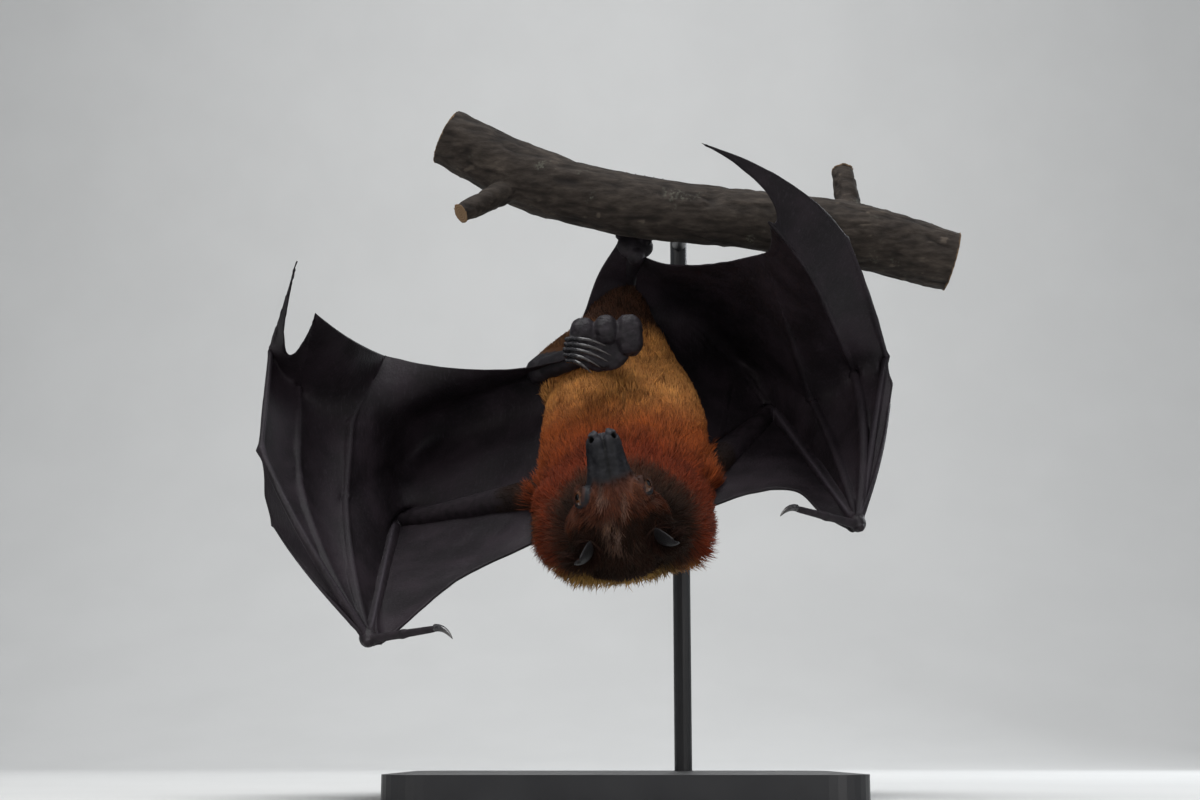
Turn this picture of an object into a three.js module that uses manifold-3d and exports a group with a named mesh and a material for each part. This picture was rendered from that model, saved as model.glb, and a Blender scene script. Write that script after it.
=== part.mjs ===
// A life-size fruit bat (a flying fox) hanging by one foot from a cut length of branch, with half
// open wings, its head tucked up against its chest and its free foot folded on its belly.
// Millimetres, +Z up. The bat faces -Y, and its left wing is on the -X side. The origin is on the
// underside of the stand's base, under the middle of the perch.
import * as THREE from 'three';
import { mergeVertices } from 'three/addons/utils/BufferGeometryUtils.js';
import Module from 'manifold-3d';

const wasm = await Module();
wasm.setup();

// ---------------------------------------------------------------- driving dimensions
const FOREARM = 164;          // elbow to wrist, the usual measure of a bat's size
const GAP = 0.3;              // clearance between neighbouring solids
const WEB_THICKNESS = 0.8;    // wing skin

// lengths of the arm and finger bones as shares of the forearm
const SHARE = {
  humerus: 0.70, forearm: 1.00, thumb: 0.23,
  palm2: 0.50, first2: 0.20,
  palm3: 0.72, first3: 0.50, last3: 0.62,
  palm4: 0.69, first4: 0.41, last4: 0.40,
  palm5: 0.72, first5: 0.31, last5: 0.30,
};

// the pose: each bone's direction as [turn about +Z from +X, rise above level], in degrees
const POSE = {
  left: {
    shoulder: [-19.1, -12.0, 154.1],
    humerus: [146.7, -4.5], forearm: [-86.9, -26.1], thumb: [-31.4, 5.4],
    palm2: [148.3, 43.4], first2: [178, 71.7],
    palm3: [148.8, 53.6], first3: [97.8, 49.9], last3: [-72.9, 11.9],
    palm4: [126.9, 48.6], first4: [102.5, 55.3], last4: [-73.2, 22.0],
    palm5: [106.1, 40.9], first5: [93.5, 63.3], last5: [58.3, 57.4],
  },
  right: {
    shoulder: [46.6, -12.0, 157.2],
    humerus: [57.2, 29.6], forearm: [-80.1, -30.8], thumb: [-147.3, 7.4],
    palm2: [60.1, 54.2], first2: [67.3, 55.8],
    palm3: [66.9, 55.2], first3: [-114.6, 34.5], last3: [-140.4, 16.0],
    palm4: [81.7, 53.2], first4: [-111.7, 21.0], last4: [-121.2, 22.0],
    palm5: [96.4, 41.6], first5: [-115.2, 42.9], last5: [-114.2, 34.8],
  },
};
// how far the middle of a bone is bowed out towards the wing's leading edge
const BOW = {
  left: { palm2: 8.5, palm3: 8, palm4: 7, palm5: 3 },
  right: { palm2: 2.5, palm3: 0.5, palm4: 5, palm5: 2, first3: 1.5, last3: 9, last4: 2 },
};

// radii at both ends of each limb piece, with its skin and short fur
const RADIUS = {
  upperArm: [13, 7.5], forearm: [6.6, 4.6], wrist: 5.6, thumb: [3.0, 2.2],
  palm: [2.4, 1.9], knuckle: 2.6, first: 1.6, joint: 1.9, last: [1.3, 0.8],
  thigh: [14, 10], shin: [7.5, 4.6], ankle: 5.2, toe: [1.95, 2.15],
};

// the body from the tail end to the nape: middle of each section, half width and half depth. The
// last five sections are the neck in its thick mantle
const BODY = [
  { at: [11.5, 50, 278], wide: 7, deep: 7 },
  { at: [11.3, 46.5, 270], wide: 16, deep: 14 },
  { at: [10.0, 42, 251], wide: 27, deep: 21 },
  { at: [10.5, 34, 227], wide: 37, deep: 25 },
  { at: [12.5, 20, 203], wide: 46, deep: 29 },
  { at: [13.5, 4, 177], wide: 49, deep: 31 },
  { at: [13.0, -11, 154], wide: 50, deep: 32 },
  { at: [11.5, -24, 137], wide: 50, deep: 31 },
  { at: [9.0, -35, 125], wide: 45, deep: 27 },
  { at: [9.5, -43, 117.5], wide: 34, deep: 20 },
  { at: [11.0, -48, 113], wide: 18, deep: 11 },
];
const NECK_FROM = 6;

// the head: its own axis runs from the crown to the nose tip
const HEAD = {
  crown: [13.6, -60, 108.3], nose: [1, -84, 170],
  // along the axis from the crown, half width, height above and below the axis
  sections: [
    [0.5, 9, 7, 8], [4, 15.5, 11.5, 13], [10, 20.5, 15, 17], [17, 23.5, 17, 19], [24, 24.5, 17.2, 19.5],
    [31, 23.5, 16, 18.5], [37, 20, 14.2, 17], [42, 15.8, 12, 15], [47, 12.4, 9.8, 13],
    [52, 10.4, 8.4, 11.4], [58, 9.3, 7.6, 10], [63, 8.8, 7.2, 9], [66.5, 8.0, 6.4, 7.4], [68.5, 5.8, 4.6, 5],
  ],
  nostril: { along: 66, aside: 3.6, up: 1.2, radius: 3.2, length: 4.2 },
  eye: { along: 40.5, aside: 13.6, up: 4.5, radius: 5.7 },
  ear: { along: 16, aside: 16.5, up: 7, length: 30, wide: 13, lie: [0.1, 0.22, 0.93] },
};

// the legs: hip, knee and ankle. The right leg bears the weight and the left one is free
const LEG = {
  left: { hip: [2, 40, 249], knee: [-33, 23, 226], ankle: [15, -10, 236] },
  right: { hip: [18, 42, 251], knee: [13, 72, 277.5], ankle: [19.7, 15.5, 289.5] },
};
const TOES = 5;
const CLAW = { radius: 1.45 };

// the perch: its own middle line, and its radius along it
const PERCH = {
  line: [[-84, 0, 352], [-33, 0, 326], [21, 0, 312], [86, 0, 304], [140, 0, 295], [190, 0, 281]],
  radius: [16.5, 18.5, 17.5, 17, 18.5, 17],
  twigs: [
    { from: [136, 0, 297], to: [134, 14, 338], radius: [9.5, 7] },
    { from: [-40, -2, 326], to: [-74, -22, 301], radius: [8.5, 6.5] },
  ],
};
// the display stand: a flat base, an upright rod behind the bat, and an arm to the perch
const STAND = {
  base: { wide: 230, deep: 200, thick: 12, corner: 22, middle: [12, 14] },
  rod: { at: [47, 99], radius: 5 },
  arm: { radius: 4, height: 319 },
};

// ---------------------------------------------------------------- vectors and solids
const V = (p) => new THREE.Vector3(...p);
const mix = (a, b, t) => a.clone().lerp(b, t);
const degrees = THREE.MathUtils.degToRad;

// the direction of a bone from its turn and rise
function heading([turn, rise]) {
  const level = Math.cos(degrees(rise));
  return new THREE.Vector3(
    level * Math.cos(degrees(turn)), level * Math.sin(degrees(turn)), Math.sin(degrees(rise)));
}

function solidOf(geometry) {
  const bare = new THREE.BufferGeometry().setAttribute('position', geometry.getAttribute('position'));
  bare.setIndex(geometry.index);
  const merged = mergeVertices(bare, 1e-4);
  return new wasm.Manifold(new wasm.Mesh({
    numProp: 3,
    vertProperties: new Float32Array(merged.attributes.position.array),
    triVerts: new Uint32Array(merged.index.array),
  }));
}

function geometryOf(solid) {
  const mesh = solid.getMesh();
  const geometry = new THREE.BufferGeometry();
  geometry.setAttribute('position', new THREE.BufferAttribute(mesh.vertProperties, 3));
  geometry.setIndex(new THREE.BufferAttribute(mesh.triVerts, 1));
  const flat = geometry.toNonIndexed();
  flat.computeVertexNormals();
  return flat;
}

const largest = (solid) =>
  solid.decompose().reduce((best, piece) => (piece.volume() > best.volume() ? piece : best));

// a closed skin over a run of rings, each a loop of points, with a point at either end
function ringSkin(rings) {
  const count = rings[0].length;
  const positions = [];
  const index = [];
  rings.forEach((ring) => ring.forEach((p) => positions.push(p.x, p.y, p.z)));
  const middle = (ring) => ring.reduce((sum, p) => sum.add(p), new THREE.Vector3()).divideScalar(count);
  const ends = [middle(rings[0]), middle(rings.at(-1))];
  ends.forEach((p) => positions.push(p.x, p.y, p.z));
  const first = rings.length * count;
  for (let i = 0; i < count; i += 1) {
    const j = (i + 1) % count;
    for (let r = 0; r + 1 < rings.length; r += 1) {
      const [a, b, c, d] = [r * count + i, r * count + j, (r + 1) * count + j, (r + 1) * count + i];
      index.push(a, b, c, a, c, d);
    }
    index.push(first, j, i);
    index.push(first + 1, (rings.length - 1) * count + i, (rings.length - 1) * count + j);
  }
  const geometry = new THREE.BufferGeometry();
  geometry.setAttribute('position', new THREE.Float32BufferAttribute(positions, 3));
  geometry.setIndex(index);
  const solid = solidOf(geometry);
  if (solid.volume() > 0) return solid;
  for (let i = 0; i < index.length; i += 3) [index[i + 1], index[i + 2]] = [index[i + 2], index[i + 1]];
  geometry.setIndex(index);
  return solidOf(geometry);
}

// a straight limb piece with round ends
function capsule(from, to, [startRadius, endRadius], sides = 8) {
  const length = from.distanceTo(to);
  const bend = Math.SQRT1_2;
  const profile = [
    [0, -startRadius], [startRadius * bend, -startRadius * bend], [startRadius, 0],
    [endRadius, length], [endRadius * bend, length + endRadius * bend], [0, length + endRadius],
  ].map(([r, y]) => new THREE.Vector2(r, y));
  const geometry = new THREE.LatheGeometry(profile, sides);
  const turn = new THREE.Quaternion().setFromUnitVectors(
    new THREE.Vector3(0, 1, 0), to.clone().sub(from).normalize());
  geometry.applyMatrix4(new THREE.Matrix4().compose(from, turn, new THREE.Vector3(1, 1, 1)));
  return solidOf(geometry);
}

const ball = (at, radius, sides = 8) => {
  const geometry = new THREE.SphereGeometry(radius, sides, Math.max(4, sides / 2));
  geometry.translate(at.x, at.y, at.z);
  return solidOf(geometry);
};

// a round lump with three half axes
function lump(middle, [a, b, c]) {
  const geometry = new THREE.SphereGeometry(1, 8, 5);
  geometry.applyMatrix4(new THREE.Matrix4().makeBasis(a, b, c).setPosition(middle));
  return solidOf(geometry);
}

const joined = (solids) => solids.reduce((whole, solid) => whole.add(solid));

// a bent tube through a run of points, with a radius for each point, mitred at its bends
function bentTube(points, radii, grow, sides = 6) {
  const steps = points.slice(1).map((p, i) => p.clone().sub(points[i]).normalize());
  let aside = new THREE.Vector3(0.31, 0.52, 0.79);
  const rings = points.map((p, k) => {
    const [before, after] = [steps[Math.max(k - 1, 0)], steps[Math.min(k, steps.length - 1)]];
    const ahead = before.clone().add(after).normalize();
    const bend = after.clone().sub(before);
    const stretch = bend.length() > 0.05 ? 1 / Math.max(ahead.dot(after), 0.6) - 1 : 0;
    bend.normalize();
    aside = aside.projectOnPlane(ahead).normalize();
    const up = ahead.clone().cross(aside);
    const middle = p.clone().addScaledVector(ahead, k === 0 ? -grow : k === points.length - 1 ? grow : 0);
    return Array.from({ length: sides }, (_, i) => {
      const turn = (2 * Math.PI * i) / sides;
      const out = aside.clone().multiplyScalar(Math.cos(turn)).addScaledVector(up, Math.sin(turn))
        .multiplyScalar(radii[k] + grow);
      return middle.clone().add(out).addScaledVector(bend, out.dot(bend) * stretch);
    });
  });
  return ringSkin(rings);
}

// a thin sheet of the given thickness over the surface point(u, v), u and v from 0 to 1, and
// grown by a margin all round
function sheet(point, across, along, thickness, grow) {
  const grid = [];
  for (let i = 0; i <= across; i += 1) {
    grid.push([]);
    for (let j = 0; j <= along; j += 1) grid[i].push(point(i / across, j / along));
  }
  const push = (edge, inner) => edge.add(edge.clone().sub(inner).normalize().multiplyScalar(grow));
  for (let i = 0; i <= across; i += 1) {
    push(grid[i][0], grid[i][1]);
    push(grid[i][along], grid[i][along - 1]);
  }
  for (let j = 0; j <= along; j += 1) {
    push(grid[0][j], grid[1][j]);
    push(grid[across][j], grid[across - 1][j]);
  }
  const at = (i, j) => grid[THREE.MathUtils.clamp(i, 0, across)][THREE.MathUtils.clamp(j, 0, along)];
  const positions = [];
  const faces = [1, -1];
  faces.forEach((side) => {
    for (let i = 0; i <= across; i += 1) {
      for (let j = 0; j <= along; j += 1) {
        const du = at(i + 1, j).clone().sub(at(i - 1, j));
        const dv = at(i, j + 1).clone().sub(at(i, j - 1));
        const normal = du.cross(dv).normalize().multiplyScalar(side * (thickness / 2 + grow));
        positions.push(...grid[i][j].clone().add(normal).toArray());
      }
    }
  });
  const row = along + 1;
  const layer = (across + 1) * row;
  const id = (i, j, side) => side * layer + i * row + j;
  const index = [];
  const quad = (a, b, c, d) => index.push(a, b, c, a, c, d);
  for (let i = 0; i < across; i += 1) {
    for (let j = 0; j < along; j += 1) {
      quad(id(i, j, 0), id(i + 1, j, 0), id(i + 1, j + 1, 0), id(i, j + 1, 0));
      quad(id(i, j, 1), id(i, j + 1, 1), id(i + 1, j + 1, 1), id(i + 1, j, 1));
    }
  }
  for (let i = 0; i < across; i += 1) {
    quad(id(i, 0, 0), id(i, 0, 1), id(i + 1, 0, 1), id(i + 1, 0, 0));
    quad(id(i, along, 0), id(i + 1, along, 0), id(i + 1, along, 1), id(i, along, 1));
  }
  for (let j = 0; j < along; j += 1) {
    quad(id(0, j, 0), id(0, j + 1, 0), id(0, j + 1, 1), id(0, j, 1));
    quad(id(across, j, 0), id(across, j, 1), id(across, j + 1, 1), id(across, j + 1, 0));
  }
  const geometry = new THREE.BufferGeometry();
  geometry.setAttribute('position', new THREE.Float32BufferAttribute(positions, 3));
  geometry.setIndex(index);
  return solidOf(geometry);
}

// ---------------------------------------------------------------- the wings' skeleton
const BONES = { 2: ['palm2', 'first2'], 3: ['palm3', 'first3', 'last3'],
  4: ['palm4', 'first4', 'last4'], 5: ['palm5', 'first5', 'last5'] };

function wingJoints(side) {
  const pose = POSE[side];
  const reach = (from, bone) => from.clone().addScaledVector(heading(pose[bone]), SHARE[bone] * FOREARM);
  const wing = { shoulder: V(pose.shoulder), fingers: {} };
  wing.elbow = reach(wing.shoulder, 'humerus');
  wing.wrist = reach(wing.elbow, 'forearm');
  wing.thumb = reach(wing.wrist, 'thumb');
  for (const number of [2, 3, 4, 5]) {
    const near = Math.max(3, Math.min(number, 4));
    const spread = heading(pose[`palm${near}`]).sub(heading(pose[`palm${near + 1}`])).normalize();
    const joints = [wing.wrist];
    const bows = BONES[number].map((bone) => {
      joints.push(reach(joints.at(-1), bone));
      return spread.clone().projectOnPlane(heading(pose[bone])).normalize()
        .multiplyScalar(BOW[side][bone] ?? 0);
    });
    wing.fingers[number] = { joints, bows };
  }
  return wing;
}
const WING = { left: wingJoints('left'), right: wingJoints('right') };

// a point along a finger, where t counts its bones: 0 at the wrist, 1 at the knuckle and so on
function onFinger({ joints, bows }, t) {
  const bone = Math.min(Math.floor(t), bows.length - 1);
  const share = t - bone;
  return mix(joints[bone], joints[bone + 1], share)
    .addScaledVector(bows[bone], 4 * share * (1 - share));
}

// a point along a run of points by distance
function alongLine(points, t) {
  const lengths = points.slice(1).map((p, i) => p.distanceTo(points[i]));
  let left = THREE.MathUtils.clamp(t, 0, 1) * lengths.reduce((sum, length) => sum + length);
  for (let i = 0; i < lengths.length; i += 1) {
    if (left <= lengths[i] || i === lengths.length - 1) return mix(points[i], points[i + 1], left / lengths[i]);
    left -= lengths[i];
  }
  return points.at(-1).clone();
}

// ---------------------------------------------------------------- the body
// a section's loop: a flattened round, wide along X and deep across the spine
function bodySkin(from, to, grow, sides = 14) {
  const middles = BODY.map((s) => V(s.at));
  const rings = [];
  for (let k = from; k <= to; k += 1) {
    const ahead = middles[Math.min(k + 1, middles.length - 1)].clone()
      .sub(middles[Math.max(k - 1, 0)]).normalize();
    const aside = new THREE.Vector3(1, 0, 0).projectOnPlane(ahead).normalize();
    const back = ahead.clone().cross(aside);
    const middle = middles[k].clone().addScaledVector(ahead, k === from ? -grow : k === to ? grow : 0);
    rings.push(Array.from({ length: sides }, (_, i) => {
      const turn = (2 * Math.PI * i) / sides;
      return middle.clone()
        .addScaledVector(aside, (BODY[k].wide + grow) * Math.cos(turn))
        .addScaledVector(back, (BODY[k].deep + grow) * Math.sin(turn));
    }));
  }
  return ringSkin(rings);
}

const headAxis = V(HEAD.nose).sub(V(HEAD.crown)).normalize();
const headUp = new THREE.Vector3(0, -1, 0).projectOnPlane(headAxis).normalize();
const headAside = headAxis.clone().cross(headUp);
const onHead = (along, aside, up) => V(HEAD.crown)
  .addScaledVector(headAxis, along).addScaledVector(headAside, aside).addScaledVector(headUp, up);

function head(grow) {
  const sides = 12;
  const rings = HEAD.sections.map(([along, wide, above, below], k) => {
    const shift = k === 0 ? -grow : k === HEAD.sections.length - 1 ? grow : 0;
    return Array.from({ length: sides }, (_, i) => {
      const turn = (2 * Math.PI * i) / sides;
      const tall = Math.sin(turn) > 0 ? above : below;
      return onHead(along + shift, (wide + grow) * Math.cos(turn), (tall + grow) * Math.sin(turn));
    });
  });
  const nostrils = [-1, 1].map((side) => {
    const n = HEAD.nostril;
    const from = onHead(n.along - 2, side * n.aside, n.up);
    const to = onHead(n.along + n.length, side * (n.aside + 0.9), n.up + 0.6);
    return capsule(from, to, [n.radius + grow, n.radius - 0.6 + grow], 7);
  });
  return joined([ringSkin(rings), ...nostrils]);
}

const eyeMiddle = (side) => onHead(HEAD.eye.along, side * HEAD.eye.aside, HEAD.eye.up);
const eye = (side) => (grow) => ball(eyeMiddle(side), HEAD.eye.radius + grow, 10);

// an ear: a pointed leaf, cupped round its own length, that stands out from the head and leans back
function ear(side) {
  const { along, aside, up, length, wide, lie: [lieAlong, lieAside, lieUp] } = HEAD.ear;
  const root = onHead(along, side * aside, up);
  const lie = headAxis.clone().multiplyScalar(lieAlong)
    .addScaledVector(headAside, side * lieAside).addScaledVector(headUp, lieUp).normalize();
  const facing = headAxis.clone().addScaledVector(headAside, side * 1.1).projectOnPlane(lie).normalize();
  const across = lie.clone().cross(facing);
  return (grow) => sheet((u, v) => {
    const half = (wide / 2) * Math.sin(Math.PI * (0.20 + 0.78 * u)) ** 0.7;
    const roll = (2 * v - 1) * 1.35;
    return root.clone()
      .addScaledVector(lie, length * u)
      .addScaledVector(across, half * Math.sin(roll))
      .addScaledVector(facing, half * (0.55 - Math.cos(roll)));
  }, 6, 4, 1.2, grow);
}

// ---------------------------------------------------------------- legs, feet and claws
// the branch's middle, and the directions round it, where the right foot holds it
const hold = {
  middle: V(PERCH.line[2]),
  along: V(PERCH.line[3]).sub(V(PERCH.line[1])).normalize(),
};
hold.back = new THREE.Vector3(0, 1, 0);
hold.up = hold.back.clone().cross(hold.along).multiplyScalar(-1).normalize();
const roundPerch = (offset, turn, radius) => hold.middle.clone()
  .addScaledVector(hold.along, offset)
  .addScaledVector(hold.back, radius * Math.cos(degrees(turn)))
  .addScaledVector(hold.up, radius * Math.sin(degrees(turn)));

// each toe of the holding foot curves up the back of the branch, and its claw over the top
const GRIP = {
  radius: 20.1, spread: 5.0, padTurn: -48, baseTurn: -44, toeTurn: 38, clawTurn: 84, clawRadius: 18.9,
};
const gripOffset = (k) => (k - (TOES - 1) / 2) * GRIP.spread;
function holdingFoot(grow) {
  const heel = V(LEG.right.ankle).add(new THREE.Vector3(0, 0, -1));
  const toes = Array.from({ length: TOES }, (_, k) => {
    const line = [0, 1, 2, 3].map((i) => roundPerch(gripOffset(k) * (0.85 + 0.05 * i),
      THREE.MathUtils.lerp(GRIP.baseTurn, GRIP.toeTurn, i / 3), GRIP.radius));
    return bentTube(line, [0, 1, 2, 3].map((i) => THREE.MathUtils.lerp(...RADIUS.toe, i / 3)), grow, 5);
  });
  // the broad pad between the heel and the roots of the toes
  const ahead = roundPerch(0, GRIP.padTurn + 14, GRIP.radius).sub(heel);
  const out = roundPerch(0, GRIP.padTurn, 1).sub(hold.middle).projectOnPlane(ahead);
  const sole = lump(heel.clone().addScaledVector(ahead, 0.5), [
    ahead.clone().setLength(ahead.length() * 0.66 + grow),
    out.clone().cross(ahead).setLength(11 + grow), out.setLength(4 + grow)]);
  return joined([ball(heel, RADIUS.ankle + grow, 8), sole, ...toes]);
}
function holdingClaw(k) {
  return [0, 1, 2, 3].map((i) => roundPerch(
    gripOffset(k), THREE.MathUtils.lerp(GRIP.toeTurn + 3, GRIP.clawTurn, i / 3),
    THREE.MathUtils.lerp(GRIP.radius + 1.6, GRIP.clawRadius, (i / 3) ** 2)));
}

// the free foot is closed like a fist: heel, two knuckles, and the curled toes below them. Its claws
// hook out from the outer end, across the front of the curled toes
const FIST = [
  { at: [15.2, -17, 236], size: [8.5, 8.5, 12] },
  { at: [3.1, -19, 238], size: [8, 8, 9.5] },
  { at: [-9, -18.5, 237], size: [8.5, 7.5, 9.5] },
  { at: [0, -18, 226.5], size: [17.5, 8, 11] },
];
const FREE_CLAWS = [
  { root: [-17.7, 232.6], tip: [3.6, 227.9] }, { root: [-18.2, 230.0], tip: [6.2, 222.9] },
  { root: [-18.7, 227.2], tip: [4.6, 219.6] }, { root: [-18.4, 224.2], tip: [0.5, 216.6] },
  { root: [-17.1, 221.2], tip: [-4.1, 213.6] },
];
const closedFoot = (grow) => joined(FIST.map(({ at, size }) => lump(V(at), [0, 1, 2].map(
  (i) => new THREE.Vector3().setComponent(i, size[i] + grow)))));
function freeClaw(k) {
  const { root: [x, z], tip: [tipX, tipZ] } = FREE_CLAWS[k];
  const arch = [-23, -29, -30.5, -27];
  return [0, 1, 2, 3].map((i) => new THREE.Vector3(THREE.MathUtils.lerp(x, tipX, i / 3), arch[i],
    THREE.MathUtils.lerp(z, tipZ, (i / 3) ** 1.3)));
}

const foot = (side) => (side === 'left' ? closedFoot : holdingFoot);
const clawRadii = [1, 0.86, 0.62, 0.25].map((share) => share * CLAW.radius);
const claw = (side, k) => (grow) => bentTube(
  side === 'left' ? freeClaw(k) : holdingClaw(k), clawRadii, grow, 5);

const thigh = (side) => (grow) =>
  capsule(V(LEG[side].hip), V(LEG[side].knee), RADIUS.thigh.map((r) => r + grow), 10);
const shin = (side) => (grow) =>
  capsule(V(LEG[side].knee), V(LEG[side].ankle), RADIUS.shin.map((r) => r + grow), 8);

// ---------------------------------------------------------------- arms, fingers and wing skin
const upperArm = (side) => (grow) =>
  capsule(WING[side].shoulder, WING[side].elbow, RADIUS.upperArm.map((r) => r + grow), 10);
const forearm = (side) => (grow) => joined([
  capsule(WING[side].elbow, WING[side].wrist, RADIUS.forearm.map((r) => r + grow), 8),
  ball(WING[side].wrist, RADIUS.wrist + grow, 8),
]);
const thumb = (side) => (grow) =>
  capsule(WING[side].wrist, WING[side].thumb, RADIUS.thumb.map((r) => r + grow), 8);
function thumbClaw(side) {
  const lie = WING[side].thumb.clone().sub(WING[side].wrist).normalize();
  const down = new THREE.Vector3(0, -0.35, -1).projectOnPlane(lie).normalize();
  const points = [0, 1, 2, 3].map((i) => WING[side].thumb.clone()
    .addScaledVector(lie, 1.5 + 3.4 * i).addScaledVector(down, -0.4 + 0.75 * i * i));
  return (grow) => bentTube(points, clawRadii.map((r) => 1.2 * r), grow, 5);
}

const finger = (side, number) => (grow) => {
  const bones = WING[side].fingers[number].bows.length;
  const points = [];
  const radii = [];
  for (let step = 0; step <= 3 * bones; step += 1) {
    points.push(onFinger(WING[side].fingers[number], step / 3));
    const [bone, share] = [Math.min(Math.floor(step / 3), bones - 1), (step % 3) / 3];
    const thin = bone === 0 ? RADIUS.palm : bone === bones - 1 ? RADIUS.last : [RADIUS.first, RADIUS.first];
    const knob = step === 3 ? RADIUS.knuckle : step === 6 ? RADIUS.joint : null;
    radii.push(step === 3 * bones ? RADIUS.last[1] : knob ?? THREE.MathUtils.lerp(...thin, share));
  }
  return bentTube(points, radii, grow, 5);
};

// the skin between two fingers: ruled from one to the other, with its free edge drawn in between
// the tips by a share of the last bones
const WEB = {
  left: { 3: { draw: 0.80, hollow: 0.6, billow: 4 }, 4: { draw: 0.04, hollow: 1, billow: 6 } },
  right: { 3: { draw: 0.30, hollow: 0.8, billow: 4 }, 4: { draw: 0.10, hollow: 1, billow: 5 } },
};
function fingerWeb(side, number) {
  const { fingers } = WING[side];
  const { draw, hollow, billow } = WEB[side][number];
  const spread = (n) => fingers[n].joints[1].clone().sub(fingers[n].joints[0]);
  const swell = spread(number).cross(spread(number + 1)).normalize();
  if (swell.y < 0) swell.negate();
  return (grow) => sheet((u, v) => {
    const bow = 4 * v * (1 - v);
    let t = THREE.MathUtils.lerp(0.08, 3, u);
    if (t > 2) t = 2 + (t - 2) * (1 - draw * bow ** hollow);
    return mix(onFinger(fingers[number], t), onFinger(fingers[number + 1], t), v)
      .addScaledVector(swell, billow * bow * Math.sin(Math.PI * u));
  }, 9, number === 3 ? 4 : 3, WEB_THICKNESS, grow);
}

// the narrow strip of skin between the second finger and the third one's palm
function frontStrip(side) {
  const { 2: second, 3: third } = WING[side].fingers;
  return (grow) => sheet((u, v) => mix(
    onFinger(second, THREE.MathUtils.lerp(0.12, 1.98, u)),
    onFinger(third, THREE.MathUtils.lerp(0.08, 0.98, u)), v), 7, 1, WEB_THICKNESS, grow);
}

// a patch that fills four edges: two that run with u and two that run with v
function patch(alongStart, alongEnd, acrossStart, acrossEnd) {
  return (u, v) => {
    const ruledU = mix(alongStart(u), alongEnd(u), v);
    const ruledV = mix(acrossStart(v), acrossEnd(v), u);
    const corners = mix(
      mix(alongStart(0), alongEnd(0), v),
      mix(alongStart(1), alongEnd(1), v), u);
    return ruledU.add(ruledV).sub(corners);
  };
}

// where the wing skin leaves the body: down the flank from the armpit to the ankle
const FLANK = {
  left: [[-24, 6, 156], [-27, 14, 182], [-22, 30, 210], [-31, 24, 228], [-8, 6, 233], [17, -13, 238]],
  right: [[50, 6, 164], [44, 22, 197], [36, 36, 223], [28, 45, 246], [21, 50, 264], [20, 42, 278], [22, 18, 290]],
};
const EDGE_SAG = { left: [5, 4, -12], right: [-4, 4, -5] };
const FLIGHT_BILLOW = 7;

function bodyWeb(side) {
  const wing = WING[side];
  const fifth = wing.fingers[5];
  const flank = FLANK[side].map(V);
  const ankle = flank.at(-1);
  const arm = (v) => (v < 0.5 ? mix(wing.wrist, wing.elbow, 2 * v) : mix(wing.elbow, flank[0], 2 * v - 1));
  const surface = patch(
    (u) => onFinger(fifth, 3 * u),
    (u) => alongLine(flank, u),
    arm,
    (v) => mix(fifth.joints[3], ankle, v).addScaledVector(V(EDGE_SAG[side]), 4 * v * (1 - v)),
  );
  return (grow) => sheet((u, v) => {
    const point = surface(u, v);
    point.y += FLIGHT_BILLOW * Math.sin(Math.PI * u) * Math.sin(Math.PI * v);
    return point;
  }, 9, 5, WEB_THICKNESS, grow);
}

// the skin in front of the arm, from the neck to the wrist
const LEADING = {
  left: [[-30, -22, 128], [-53.5, -35, 115.4], [-70.1, -50, 104.9], [-82.6, -70, 91], [-101, -93, 71]],
  right: [[54, -22, 144], [77.5, -25, 151.6], [98.3, -35, 151.2], [109.5, -55, 136.8], [121, -66, 127.5]],
};
function frontWeb(side) {
  const wing = WING[side];
  const arm = [wing.shoulder, wing.elbow, wing.wrist];
  const lead = LEADING[side].map(V);
  return (grow) => sheet(
    (u, v) => mix(alongLine(arm, 0.04 + 0.955 * u), alongLine(lead, 0.04 + 0.955 * u), v),
    8, 2, WEB_THICKNESS, grow);
}

// the narrow skin inside the bearing leg, from the ankle to the tail end
const LEG_EDGE = [[10, 16, 297], [-1, 28, 281.5], [-9, 40, 262]];
function legWeb(grow) {
  const leg = [V(LEG.right.ankle), V([15, 40, 280]), V([10, 45, 256])];
  const edge = LEG_EDGE.map(V);
  return sheet((u, v) => mix(alongLine(leg, u), alongLine(edge, u), v), 5, 2, WEB_THICKNESS, grow);
}

// ---------------------------------------------------------------- perch and stand
function perch(grow) {
  const curve = new THREE.CatmullRomCurve3(PERCH.line.map(V));
  const sides = 12;
  const steps = 8;
  const rings = Array.from({ length: steps + 1 }, (_, k) => {
    const t = k / steps;
    const ahead = curve.getTangent(t);
    const back = new THREE.Vector3(0, 1, 0);
    const up = ahead.clone().cross(back).normalize();
    const place = t * (PERCH.radius.length - 1);
    const step = Math.min(Math.floor(place), PERCH.radius.length - 2);
    const radius = THREE.MathUtils.lerp(PERCH.radius[step], PERCH.radius[step + 1], place - step) + grow;
    return Array.from({ length: sides }, (_, i) => {
      const turn = (2 * Math.PI * i) / sides;
      return curve.getPoint(t).addScaledVector(back, radius * Math.cos(turn))
        .addScaledVector(up, radius * Math.sin(turn));
    });
  });
  const twigs = PERCH.twigs.map((t) => capsule(V(t.from), V(t.to), t.radius.map((r) => r + grow), 8));
  return joined([ringSkin(rings), ...twigs]);
}

function standBase() {
  const { wide, deep, thick, corner, middle } = STAND.base;
  const [x, y] = [wide / 2 - corner, deep / 2 - corner];
  const outline = new THREE.Shape();
  [[x, y, 0], [-x, y, 1], [-x, -y, 2], [x, -y, 3]].forEach(([cx, cy, quarter]) => {
    outline.absarc(cx, cy, corner, (quarter * Math.PI) / 2, ((quarter + 1) * Math.PI) / 2, false);
  });
  const geometry = new THREE.ExtrudeGeometry(outline, { depth: thick, bevelEnabled: false, curveSegments: 4 });
  geometry.translate(middle[0], middle[1], 0);
  return solidOf(geometry);
}

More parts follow.
